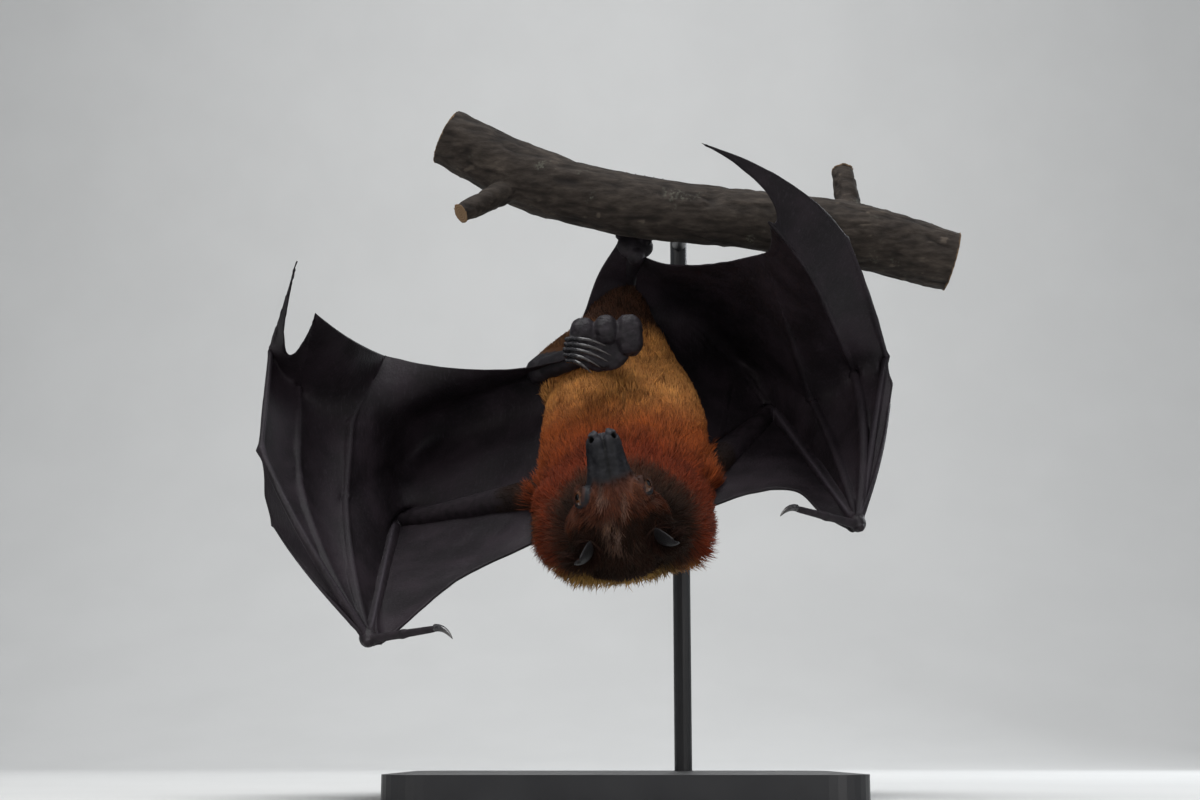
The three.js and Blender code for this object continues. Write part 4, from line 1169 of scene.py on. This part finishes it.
def limb_distance(points, start, end):
    """How far points are from a limb's middle line, and where along it they are, from 0 to 1."""
    start, end = np.asarray(start, float), np.asarray(end, float)
    line = end - start
    t = np.clip((points - start) @ line / (line @ line), 0, 1)
    return np.linalg.norm(points - start - t[:, None] * line, axis=1), t


def zones(points):
    """Where each point is: on the head, body, arms or legs, and its place along them."""
    along, aside, up = head_place(points)
    down, across, belly = body_place(points)
    near_head = np.clip(np.interp(along, HEAD[:, 0], HEAD[:, 1]), 5, 30)
    head = (along > -3) & (along < HEAD_END) & (np.hypot(aside, up) < near_head + 1.5)
    ear = np.zeros(len(points), bool)
    lid, hole = np.zeros(len(points)), np.zeros(len(points))
    for side in SIDES.values():
        root = on_head(EAR["along"], side * EAR["aside"], EAR["up"])
        head |= (np.linalg.norm(points - root, axis=1) < 15) & (up > 3)
        off, t = limb_distance(points, root + EAR_OUT[side] * 10, root + EAR_OUT[side] * EAR["length"])
        ear |= (off < 13) & (t > 0.0) & (up > 13 - 0.25 * along)
        lid = np.maximum(lid, 1 - ease(1.35, 1.65, round_eye(points, side)[2]))
        hole = np.maximum(hole, 1 - ease(1.2, 2.0, from_hole(points, side)[0]))
    arm, elbow = np.full(len(points), FAR), np.zeros(len(points))
    hand, shin = arm.copy(), arm.copy()
    for side, wing in WINGS.items():
        off, t = limb_distance(points, wing.shoulder, wing.elbow)
        elbow = np.where(off < arm, t, elbow)
        arm = np.minimum(arm, off)
        for start, end in ((wing.elbow, wing.wrist), (wing.wrist, wing.thumb)):
            hand = np.minimum(hand, limb_distance(points, start, end)[0])
        knee, ankle = LEG[side]["knee"], LEG[side]["ankle"]
        shin = np.minimum(shin, limb_distance(points, mix(knee, ankle, -0.06), ankle)[0])
    fist = np.min([np.linalg.norm((points - middle) / (np.array(sizes) + 2), axis=1)
                   for middle, sizes in FIST], axis=0) < 1.2
    grip = np.linalg.norm(points - PERCH[2, :3], axis=1) < GRIP_REACH
    trunk = (body_distance(points) < 1.5) & ~head
    hooks = (points[:, 1] < -8) & (np.abs(points[:, 2] - FIST_Z) < 20) & (np.abs(points[:, 0]) < 27)
    limb = ~trunk & ~head
    return {"along": along, "aside": aside, "up": up, "down": down, "across": across, "belly": belly,
            "head": head & ~ear, "ear": ear, "trunk": trunk, "elbow": elbow, "arm": (arm < 13) & limb,
            "hand": (hand < 8) & limb & (arm > 6), "shin": (shin < 8.5) & ~trunk,
            "foot": fist | grip | (hooks & ~trunk), "lid": lid, "hole": hole * head * (along > 60)}


def markings(points, z):
    """How strongly each colour shows at each point, from 0 to 1."""
    patch = lumps(points, 9, 11) * 0.5 + lumps(points, 3.5, 12) * 0.35
    streak = lumps(points * (1, 1, 0.3), 2.6, 13)
    along, aside, up, wide = z["along"], z["aside"], z["up"], np.abs(z["aside"])
    x, y, height = points.T
    head, limb = z["head"].astype(float), ~z["trunk"]
    body = 1 - head
    front = ease(-14, 2, z["belly"] + 3 * patch)
    back = body * (1 - front)
    face = along + 3.0 * patch + 1.5 * streak

    # the mantle's rings of colour lie round the middle of the head. Its dark inner ring, on the front
    # side only, is painted shade from the head
    rise = height - HEAD_MIDDLE[2]
    ring = np.hypot(x - HEAD_MIDDLE[0] - 3, np.where(rise < 0, 1.1, 1.15) * rise) + 3.5 * patch
    seen = y < -30
    belly = body * front * ease(176, 212, height + 6 * patch)
    belly = belly * (1 - 0.25 * ease(0.0, 0.8, streak))
    # the brows' gold is partly their own colour and partly a painted highlight, which makes it stronger
    # on the right brow
    brow = head * (0.5 + 0.4 * (aside > 0)) * hump(along, 43.5, 4.0) * hump(wide, 10.0, 3.6) * (up > 2)
    gold = strongest(belly, brow, limb * body * 0.5 * hump(x, -20, 8) * hump(height, 216, 12) * (y < 12))
    rufous = strongest(body * (1 - ease(40, 62, ring)) * 0.95,
                       body * 0.45 * ease(0.0, 0.9, patch + 0.3 * streak) * (1 - belly))
    thigh = np.min([limb_distance(points, leg["hip"], leg["knee"])[0] for leg in LEG.values()],
                   axis=0) < 16
    # painted shade: the first dun term darkens the mantle's inner ring round the head, front side only
    dun = strongest(body * (1 - ease(24, 35, ring)) * 0.94 * seen, back * ease(118, 132, height),
                    body * ease(238, 252, height), z["arm"] * 0.9,
                    0.85 * (z["shin"] | z["foot"] | (limb & thigh)))
    # painted shade: the second umber term darkens the same ring; the other umber terms are the coat's own
    # colour
    umber = strongest(back * 0.75 * ease(135, 160, height),
                      body * (1 - ease(22, 33, ring)) * 0.92 * seen * (1 - 0.55 * ease(0, 20, rise)),
                      z["arm"] * ease(0.02, 0.25, z["elbow"] + 0.08 * patch),
                      head * (1 - ease(29, 39, face)) * 0.97, head * ease(43, 49, face) * 0.8)
    # painted shade: the body's rust band beside the head, front side only; the head's rust is its own
    # colour
    rust = strongest(head * ease(26, 37, face) * 0.95,
                     body * (1 - ease(28, 38, ring)) * hump(rise, 16, 13) * ease(-0.3, 0.5, streak)
                     * (y < -40) * 0.8)
    frost = strongest(head * hump(along, 28, 9) * hump(wide, 0, 6.0) * ease(0.25, 0.8, streak + 0.2)
                      * 0.55, head * 0.30 * hump(along, 41, 7) * ease(0.1, 0.7, streak))
    low = ease(-74, -62, y)
    straw = strongest(body * (1 - ease(110, 118, height + 3 * patch)) * low * 0.95,
                      body * 0.6 * hump(x, -36, 7) * hump(height, 130, 7),
                      body * 0.6 * (1 - front) * (1 - ease(112, 134, height + 8 * patch)) * low)
    cheek = np.clip(wide - 8.5, 0, 5) * np.where(aside < 0, 2.2, 0.3)
    bare = strongest(head * ease(47, 52, along + 2.5 * patch + 0.15 * np.abs(up) + cheek),
                     z["ear"] | z["hand"] | z["shin"] | z["foot"],
                     z["arm"] * ease(0.22, 0.42, z["elbow"] + 0.1 * patch), z["lid"] * head)
    return {"gold": gold, "rufous": rufous, "rust": rust, "dun": dun, "umber": umber * (1 - 0.6 * frost),
            "frost": frost, "straw": straw, "bare": np.clip(bare, 0, 1)}


# ------------------------------------------------------------------ the coat
def lie_of_coat(points, normals, z):
    """Which way the hair points: back over the head, tailward on the body, and outward in the mantle."""
    tailward = -HEADWARD
    outward = unit(points - HEAD_MIDDLE)
    mantle = ease(92, 124, z["down"]) * (0.40 + 0.60 * (1 - ease(116, 158, points[:, 2])))
    lie = mix(np.broadcast_to(tailward, points.shape), outward, mantle[:, None])
    away = np.clip(z["aside"] / 13, -1, 1)
    lie = np.where(z["head"][:, None], -HEAD_AHEAD + 0.85 * away[:, None] * HEAD_ASIDE, lie)
    for wing in WINGS.values():
        here = z["arm"] & (limb_distance(points, wing.shoulder, wing.elbow)[0] < 14)
        lie = np.where(here[:, None], unit(wing.elbow - wing.shoulder) + 0.3 * tailward, lie)
    return squared(lie, normals)


def coat_measures(points, z):
    """The length, width and lift of the hair at each point: for the body first, then for the head and
    for the limbs."""
    head, along = z["head"], z["along"]
    mantle = ease(84, 126, z["down"])
    near_eye = np.minimum(*(round_eye(points, side)[2] for side in SIDES.values()))
    cheek = ease(10, 19, np.abs(z["aside"])) * (1 - ease(34, 44, along))
    length = np.interp(along, [0, 20, 34, 42, 50], [9.0, 8.4, 6.4, 4.0, 1.8]) + 3.2 * cheek
    length = length * (0.65 + 0.35 * ease(1.2, 2.4, near_eye))
    width = np.interp(along, [0, 34, 50], [0.66, 0.52, 0.30])
    lift = np.interp(along, [0, 30, 46], [32.0, 26.0, 20.0]) + 12 * cheek
    short = 4.8 - 2.4 * z["arm"] * ease(0.05, 0.35, z["elbow"])
    which = [head, z["trunk"]]
    return (np.select(which, [length, mix(9.0, 13.0, mantle)], short),
            np.select(which, [width, mix(0.70, 0.58, mantle)], 0.46),
            np.radians(np.select(which, [lift, mix(21.0, 27.0, mantle)], 9.0)))


TUFT_STEPS = np.array([0.0, 0.36, 0.72, 1.0])    # where a tuft's rings and its point lie along it
TUFT_SHAPE = np.array([0.80, 1.0, 0.62])         # the rings' widths
TUFT_CORNERS = 10
# a tuft's patch on the unwrap: its corners' places, ring by ring, and its point
TUFT_PATCH = np.concatenate([
    0.0012 * np.array([(-1, -1), (1, -1), (0, 1)]) + (0, rise) for rise in (-0.0004, 0, 0.0004)]
    + [[(0, 0.0015)]])


def tufts(name, roots, normals, z, rng):
    """One mesh of curved, tapering tufts. Each has three rings and a point."""
    lies = lie_of_coat(roots, normals, z)
    lengths, widths, lifts = coat_measures(roots, z)
    marks = markings(roots, z)
    count = len(roots)
    sideways = np.cross(normals, lies)
    lean = lumps(roots, 5.0, 21)[:, None] * 0.42 + rng.normal(0, 0.16, (count, 1))
    lies = unit(lies + sideways * lean)
    sideways = unit(np.cross(normals, lies))
    lifts = lifts * (1 + 0.45 * lumps(roots, 7.0, 22)) + rng.normal(0, 0.07, count)
    lengths = lengths * rng.uniform(0.72, 1.12, count)
    widths = widths * rng.uniform(0.75, 1.2, count)
    curl = rng.normal(0, 0.13, (count, 1)) * lengths[:, None]
    sink = 0.10 + 0.035 * lengths[:, None]
    line = []
    for s in TUFT_STEPS:
        rise = lifts * (1 - 0.55 * s)
        line.append(roots - normals * sink + lies * (np.cos(rise) * lengths * s)[:, None]
                    + normals * (np.sin(rise) * lengths * s)[:, None] + sideways * curl * s * s)
    points = np.zeros((count, TUFT_CORNERS, 3))
    for ring, share in enumerate(TUFT_SHAPE):
        half = 0.5 * widths * share
        for corner, angle in enumerate(np.radians([90, 210, 330])):
            points[:, 3 * ring + corner] = (line[ring] + sideways * (np.cos(angle) * half)[:, None]
                                            + normals * (np.sin(angle) * half * 0.5)[:, None])
    points[:, -1] = line[-1]
    quads = [[3 * r + c, 3 * r + (c + 1) % 3, 3 * r + 3 + (c + 1) % 3, 3 * r + 3 + c]
             for r in range(2) for c in range(3)]
    ends = [[6 + c, 6 + (c + 1) % 3, 9] for c in range(3)] + [[2, 1, 0]]
    first = (np.arange(count) * TUFT_CORNERS)[:, None, None]
    mesh = make_mesh(name, points.reshape(-1, 3), [(first + np.array(quads)).reshape(-1, 4),
                                                   (first + np.array(ends)).reshape(-1, 3)])
    mark(mesh, "tip", np.tile(np.repeat(TUFT_STEPS, [3, 3, 3, 1]), count))
    tone = lumps(roots * (1, 1, 0.4), 1.9, 23) * 0.65 + lumps(roots, 6, 24) * 0.3
    tone = tone + rng.normal(0, 0.33, count)
    mark(mesh, "tone", np.repeat(np.clip(tone, -1, 1), TUFT_CORNERS))
    for key in MARKINGS:
        mark(mesh, key, np.repeat(marks[key], TUFT_CORNERS))
    spots = (unwrapped(roots, z)[:, None] + TUFT_PATCH[None]).reshape(-1, 2)
    layer = mesh.uv_layers.new(name="OFBake")
    corners = np.zeros(len(mesh.loops), np.int32)
    mesh.loops.foreach_get("vertex_index", corners)
    layer.uv.foreach_set("vector", spots[corners].astype(np.float32).ravel())
    return mesh


def unwrapped(points, z):
    """Each point's place on an unwrap of the skin's own shape: the body and the head rolled out round
    their own axes side by side, and the limbs above them."""
    u = 0.02 + 0.54 * rolled(z["across"], z["belly"])
    v = 0.02 + 0.62 * np.clip(z["down"] / 200, 0, 1)
    u = np.where(z["head"], 0.60 + 0.38 * rolled(z["aside"], z["up"]), u)
    v = np.where(z["head"], 0.02 + 0.62 * np.clip(z["along"] / 72, 0, 1), v)
    for k, wing in enumerate(WINGS.values()):
        line = unit(wing.elbow - wing.shoulder)
        away = points - wing.shoulder
        front = squared(np.array([0.0, -1, 0.2]), line)
        here = z["arm"] & (limb_distance(points, wing.shoulder, wing.elbow)[0] < 14)
        u = np.where(here, 0.02 + 0.48 * k + 0.44 * rolled(away @ np.cross(line, front), away @ front), u)
        v = np.where(here, 0.68 + 0.28 * np.clip((away @ line) / 120, 0, 1), v)
    return np.stack([u, v], -1)


def rolled(aside, front):
    """The turn round an axis as a share from 0 to 1, with 0.5 at the front."""
    return np.arctan2(aside, front) / (2 * np.pi) + 0.5


def upper(z):
    """The body from the tail end down to where the mantle starts."""
    return z["trunk"] & (z["down"] < 96)


def lower(z, front):
    """The rest of the body: the mantle in front, or the nape behind."""
    return z["trunk"] & (z["down"] >= 96) & ((z["belly"] > -4) == front)


# each piece of the coat: how many tufts, its slot, and where it grows
COAT_PIECES = {
    "coat_belly": (12400, "fur_gold", lambda z: upper(z) & (z["belly"] > 0)),
    "coat_back": (12000, "fur_dark", lambda z: upper(z) & (z["belly"] <= 0)),
    "coat_mantle_left": (12400, "fur_rufous", lambda z: lower(z, True) & (z["across"] < 0)),
    "coat_mantle_right": (12400, "fur_rufous", lambda z: lower(z, True) & (z["across"] >= 0)),
    "coat_nape": (12400, "fur_dark", lambda z: lower(z, False)),
    "coat_head": (12400, "fur_dark", lambda z: z["head"]),
    "coat_legs_and_arms": (7000, "fur_rufous", lambda z: ~z["trunk"] & ~z["head"] & ~z["ear"]),
}


def add_coat(points, triangles, normals):
    rng = np.random.default_rng(5)
    z = zones(points)
    bare = markings(points, z)["bare"]
    bare = np.maximum(bare, z["arm"] & (z["elbow"] + 0.09 * lumps(points, 4, 14) > 0.34))
    for name, (count, slot, where) in COAT_PIECES.items():
        chosen = where(z) & (bare < 0.75)
        here = triangles[chosen[triangles].all(1)]
        a, b, c = (points[here[:, k]] for k in range(3))
        area = np.linalg.norm(np.cross(b - a, c - a), axis=1) / 2
        pick = rng.choice(len(here), count, p=area / area.sum())
        share = rng.dirichlet((1, 1, 1), count)
        roots = (a[pick] * share[:, :1] + b[pick] * share[:, 1:2] + c[pick] * share[:, 2:])
        out = unit(sum(normals[here[pick, k]] * share[:, k:k + 1] for k in range(3)))
        obj = place(name, tufts(name, roots, out, zones(roots), rng), COAT)
        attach(obj, "root")


FLESH = ["head", "neck", "trunk", "leg_web"] + [f"{name}_{side}" for side in SIDES for name in (
    "ear", "thigh", "foot", "shin", "upper_arm", "forearm", "thumb", "finger_2", "finger_3", "finger_4",
    "finger_5", "web_2_3", "web_3_4", "web_4_5", "front_web", "body_web")]


def add_skin():
    """The skin. Its furry part's points, triangles and normals come back for the coat."""
    mesh, body_points, triangles = skin_mesh()
    points = corners_of(mesh)
    z = zones(points)
    marks = markings(points, z)
    for key in MARKINGS + ["bare"]:
        mark(mesh, key, marks[key])
    fine = lumps(points, 3.0, 31)
    # paler: spots of wear on the feet, and a painted highlight over the nose's end
    mark(mesh, "wear_and_highlight", z["foot"] * ease(0.1, 0.9, fine + 0.2) * 0.15
         + 0.25 * z["head"] * ease(64, 70, z["along"]))
    mark(mesh, "leather", strongest(z["arm"] | z["hand"] | z["ear"], 0.75 * z["foot"], 0.6 * z["shin"]))
    # painted shade: the groove along the bridge, the nostrils and the ears
    groove = z["head"] * hump(z["aside"], 0, 0.8) * ease(46, 52, z["along"]) * (z["up"] > 0) * 0.8
    mark(mesh, "painted_shade", strongest(z["hole"], 0.8 * z["ear"], groove))
    obj = place("skin", mesh, SKIN, WING_LEATHER)
    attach(obj, "root")
    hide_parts(*FLESH)
    normals = normals_of(mesh)[:len(body_points)]
    return points[:len(body_points)], triangles, normals


# ------------------------------------------------------------------ eyes and claws
def add_eyes():
    """Two eyeballs, each with a slight bulge in front."""
    off = np.linspace(0.02, 1, 30) * np.pi
    turn = np.linspace(0, 2 * np.pi, 40, endpoint=False)
    radius = EYE_PLACE["radius"] * (1 + 0.045 * np.exp(-((off / 0.55) ** 2)))
    for name, side in SIDES.items():
        middle, out, a, b = eye_axes(side)
        round_ = np.outer(np.cos(turn), a) + np.outer(np.sin(turn), b)
        ring = np.cos(off)[:, None, None] * out + np.sin(off)[:, None, None] * round_
        shapes = Shapes()
        shapes.rings(middle + ring * (radius - 0.25)[:, None, None])
        mesh = shapes.mesh(f"eye_ball_{name}")
        mark(mesh, "off_axis", np.arccos(np.clip(unit(corners_of(mesh) - middle) @ out, -1, 1)))
        obj = place(f"eye_ball_{name}", mesh, EYE)
        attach(obj, "root")
        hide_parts(f"eye_{name}")


def add_claw(name, node, line, radius):
    """A hooked claw, round in section and fine at its tip."""
    share = np.linspace(0, 1, len(line))
    shapes = Shapes()
    shapes.rings(tube_rings(line, radius * (1 - share**1.6) ** 0.75 + 0.06, 16))
    mesh = shapes.mesh(name)
    mark(mesh, "tip", np.concatenate([np.repeat(share, 16), [0, 1]]))
    obj = place(name, mesh, HORN)
    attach(obj, "root")
    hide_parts(node)


def add_claws():
    for k in range(TOES):
        add_claw(f"claw_{k + 1}_left", f"toe_claw_{k + 1}_left", free_claw(k), 1.1)
        add_claw(f"claw_{k + 1}_right", f"toe_claw_{k + 1}_right", holding_claw(k), 1.4)
    for side, wing in WINGS.items():
        lie = unit(wing.thumb - wing.wrist)
        down = squared(np.array([0, -0.35, -1.0]), lie)
        i = np.linspace(0, 3, 18)[:, None]
        line = wing.thumb + lie * (0.6 + 3.6 * i) + down * (-0.4 + 0.75 * i * i)
        add_claw(f"thumb_hook_{side}", f"thumb_claw_{side}", line, 1.7)


# ------------------------------------------------------------------ the branch and the stand
BARK_CELL = 1.0      # the size of the cells that the branch's shapes grow together in
KNOT = (60, -14, 312)


def sawn_ends(points, normals):
    """Where the branch is cut across, and how far points there are from its pith."""
    ends = [(PERCH[0, :3], unit(PERCH[0, :3] - PERCH[1, :3]), 17),
            (PERCH[-1, :3], unit(PERCH[-1, :3] - PERCH[-2, :3]), 18)]
    ends += [(np.array(end, float), unit(np.subtract(end, start)), 9) for start, end, _, _ in TWIGS]
    cut, from_pith = np.zeros(len(points)), np.zeros(len(points))
    for middle, out, reach in ends:
        away = points - middle
        off = np.linalg.norm(flat_to(away, np.broadcast_to(out, away.shape)), axis=1)
        here = (away @ out > -3) & (off < reach - 1.2) & (normals @ out > 0.6)
        cut = np.maximum(cut, here)
        from_pith = np.where(here, off, from_pith)
    return cut, from_pith


def add_perch():
    """The cut branch: its bark in ridges and flakes, and its ends sawn."""
    shapes = Shapes()
    rows = smooth_run(PERCH, 160)
    shapes.rings(tube_rings(rows[:, :3], rows[:, 3] - 0.2, 64))
    for start, end, r0, r1 in TWIGS:
        share = np.linspace(0, 1, 24)
        line = mix(np.array(start, float), np.array(end, float), share[:, None])
        shapes.rings(tube_rings(line, mix(r0, r1, share) + 2.2 * np.exp(-share * 6), 40))
    mesh = grown_together(shapes.mesh("perch_work"), BARK_CELL, 2)
    points, normals = corners_of(mesh), normals_of(mesh)
    cut, from_pith = sawn_ends(points, normals)
    along = points @ HOLD_ALONG
    stretched = points - np.outer(along, HOLD_ALONG) * 0.62
    ridges = lumps(stretched, 5.0, 41) * 0.45 + lumps(stretched, 2.2, 42) * 0.28
    rings = lumps(np.stack([along * 2.2, points[:, 1] * 0.3, points[:, 2] * 0.3], -1), 9, 43) * 0.28
    cracks = -np.clip(0.22 - np.abs(lumps(stretched * (1, 1.2, 1.2), 8, 44)), 0, 1) * 2.2
    pores = ease(0.62, 0.80, lumps(points * (0.75, 1, 1), 3.0, 45))
    pores = pores * ease(-0.2, 0.3, lumps(points, 20, 46))
    depth = ridges + rings + cracks - 0.85
    knot = -1.6 * np.exp(-(np.linalg.norm(points - KNOT, axis=1) / 5) ** 2)
    grip = 1 - 0.8 * np.exp(-(np.linalg.norm(points - PERCH[2, :3], axis=1) / 24) ** 4)
    push = (np.clip(depth, -2.2, 0) * grip + knot + 0.35 * pores) * (1 - cut) - 0.3 * cut
    move_to(mesh, points + normals * push[:, None])
    mark(mesh, "cut", cut)
    mark(mesh, "from_pith", from_pith)
    # painted shade in the deepest cracks
    mark(mesh, "hollow", np.clip(-depth - 0.95, 0, 1) * (1 - cut))
    mark(mesh, "pores", 0.6 * pores * (1 - cut))
    mesh.polygons.foreach_set("use_smooth", np.full(len(mesh.polygons), True))
    obj = place("branch", mesh, BARK)
    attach(obj, "root")
    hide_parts("perch")


def finish_stand():
    """Paint and softened edges for the stand's own nodes."""
    for name in ("stand_base", "stand_rod", "stand_arm"):
        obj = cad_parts[name]
        if not obj.material_slots:
            obj.data.materials.append(PAINT)
        for slot in obj.material_slots:
            slot.link = "OBJECT"
            slot.material = PAINT
        bevel = obj.modifiers.new("softened edges", "BEVEL")
        bevel.width, bevel.segments, bevel.limit_method = 0.0009, 3, "ANGLE"
        bevel.angle_limit = np.radians(50)


# ------------------------------------------------------------------ the studio
def add_backdrop():
    """A pale floor that sweeps up behind, with no line where it turns."""
    turn = np.linspace(0, np.pi / 2, 24)
    curve = np.stack([1500 + 1200 * np.sin(turn), 1200 - 1200 * np.cos(turn)], -1)
    run = np.concatenate([[(-4000, 0)], curve, [(2700, 5000)]])
    points = np.array([(x, y, z) for y, z in run for x in (-5000.0, 5000.0)])
    first = np.arange(len(run) - 1) * 2
    mesh = make_mesh("pale_sweep", points, [np.stack([first, first + 1, first + 3, first + 2], -1)])
    place("pale_sweep", mesh, floor_finish("pale_floor", (0.60, 0.60, 0.59)))


def add_light(name, place_m, aim_m, power, size, colour):
    """A round, soft panel of light."""
    data = bpy.data.lights.new(name, "AREA")
    data.energy, data.color = power, colour
    data.shape, data.size = "DISK", size
    obj = bpy.data.objects.new(name, data)
    bpy.context.scene.collection.objects.link(obj)
    obj.location = place_m
    obj.rotation_mode = "QUATERNION"
    obj.rotation_quaternion = (Vector(aim_m) - Vector(place_m)).to_track_quat("-Z", "Y")


def add_studio():
    """Soft light, most of it from above and behind the viewer's left."""
    world = bpy.data.worlds.new("studio")
    world.use_nodes = True
    background = world.node_tree.nodes["Background"]
    background.inputs["Color"].default_value = (0.86, 0.90, 0.95, 1)
    background.inputs["Strength"].default_value = 0.32
    bpy.context.scene.world = world
    middle = (0, 0, 0.2)
    add_light("top_panel", (-0.15, -0.35, 1.9), middle, 30, 1.1, (0.98, 0.99, 1.0))
    add_light("front_panel", (-1.1, -1.5, 0.9), middle, 9, 0.7, (1.0, 0.96, 0.91))
    add_light("side_panel", (1.2, -1.5, 0.35), middle, 6, 0.8, (1.0, 0.97, 0.95))
    add_light("back_panel", (1.0, 1.1, 0.9), middle, 10, 0.8, (0.92, 0.96, 1.0))
    add_light("backdrop_panel", (0, 0.9, 1.9), (0, 2.6, 0.9), 21, 1.6, (0.97, 0.98, 1.0))
    bpy.context.scene.view_settings.view_transform = "Standard"


def add_camera():
    """Low in front of the bat, looking a little up."""
    data = bpy.data.cameras.new("camera")
    data.lens, data.sensor_width = 52.0, 36.0
    camera = bpy.data.objects.new("camera", data)
    bpy.context.scene.collection.objects.link(camera)
    camera.location = (0, -0.9, 0.022)
    camera.rotation_euler = (np.radians(90 + 11.5), 0, 0)
    bpy.context.scene.camera = camera


add_camera()
add_studio()
add_backdrop()
finish_stand()
add_perch()
add_claws()
add_eyes()
add_coat(*add_skin())
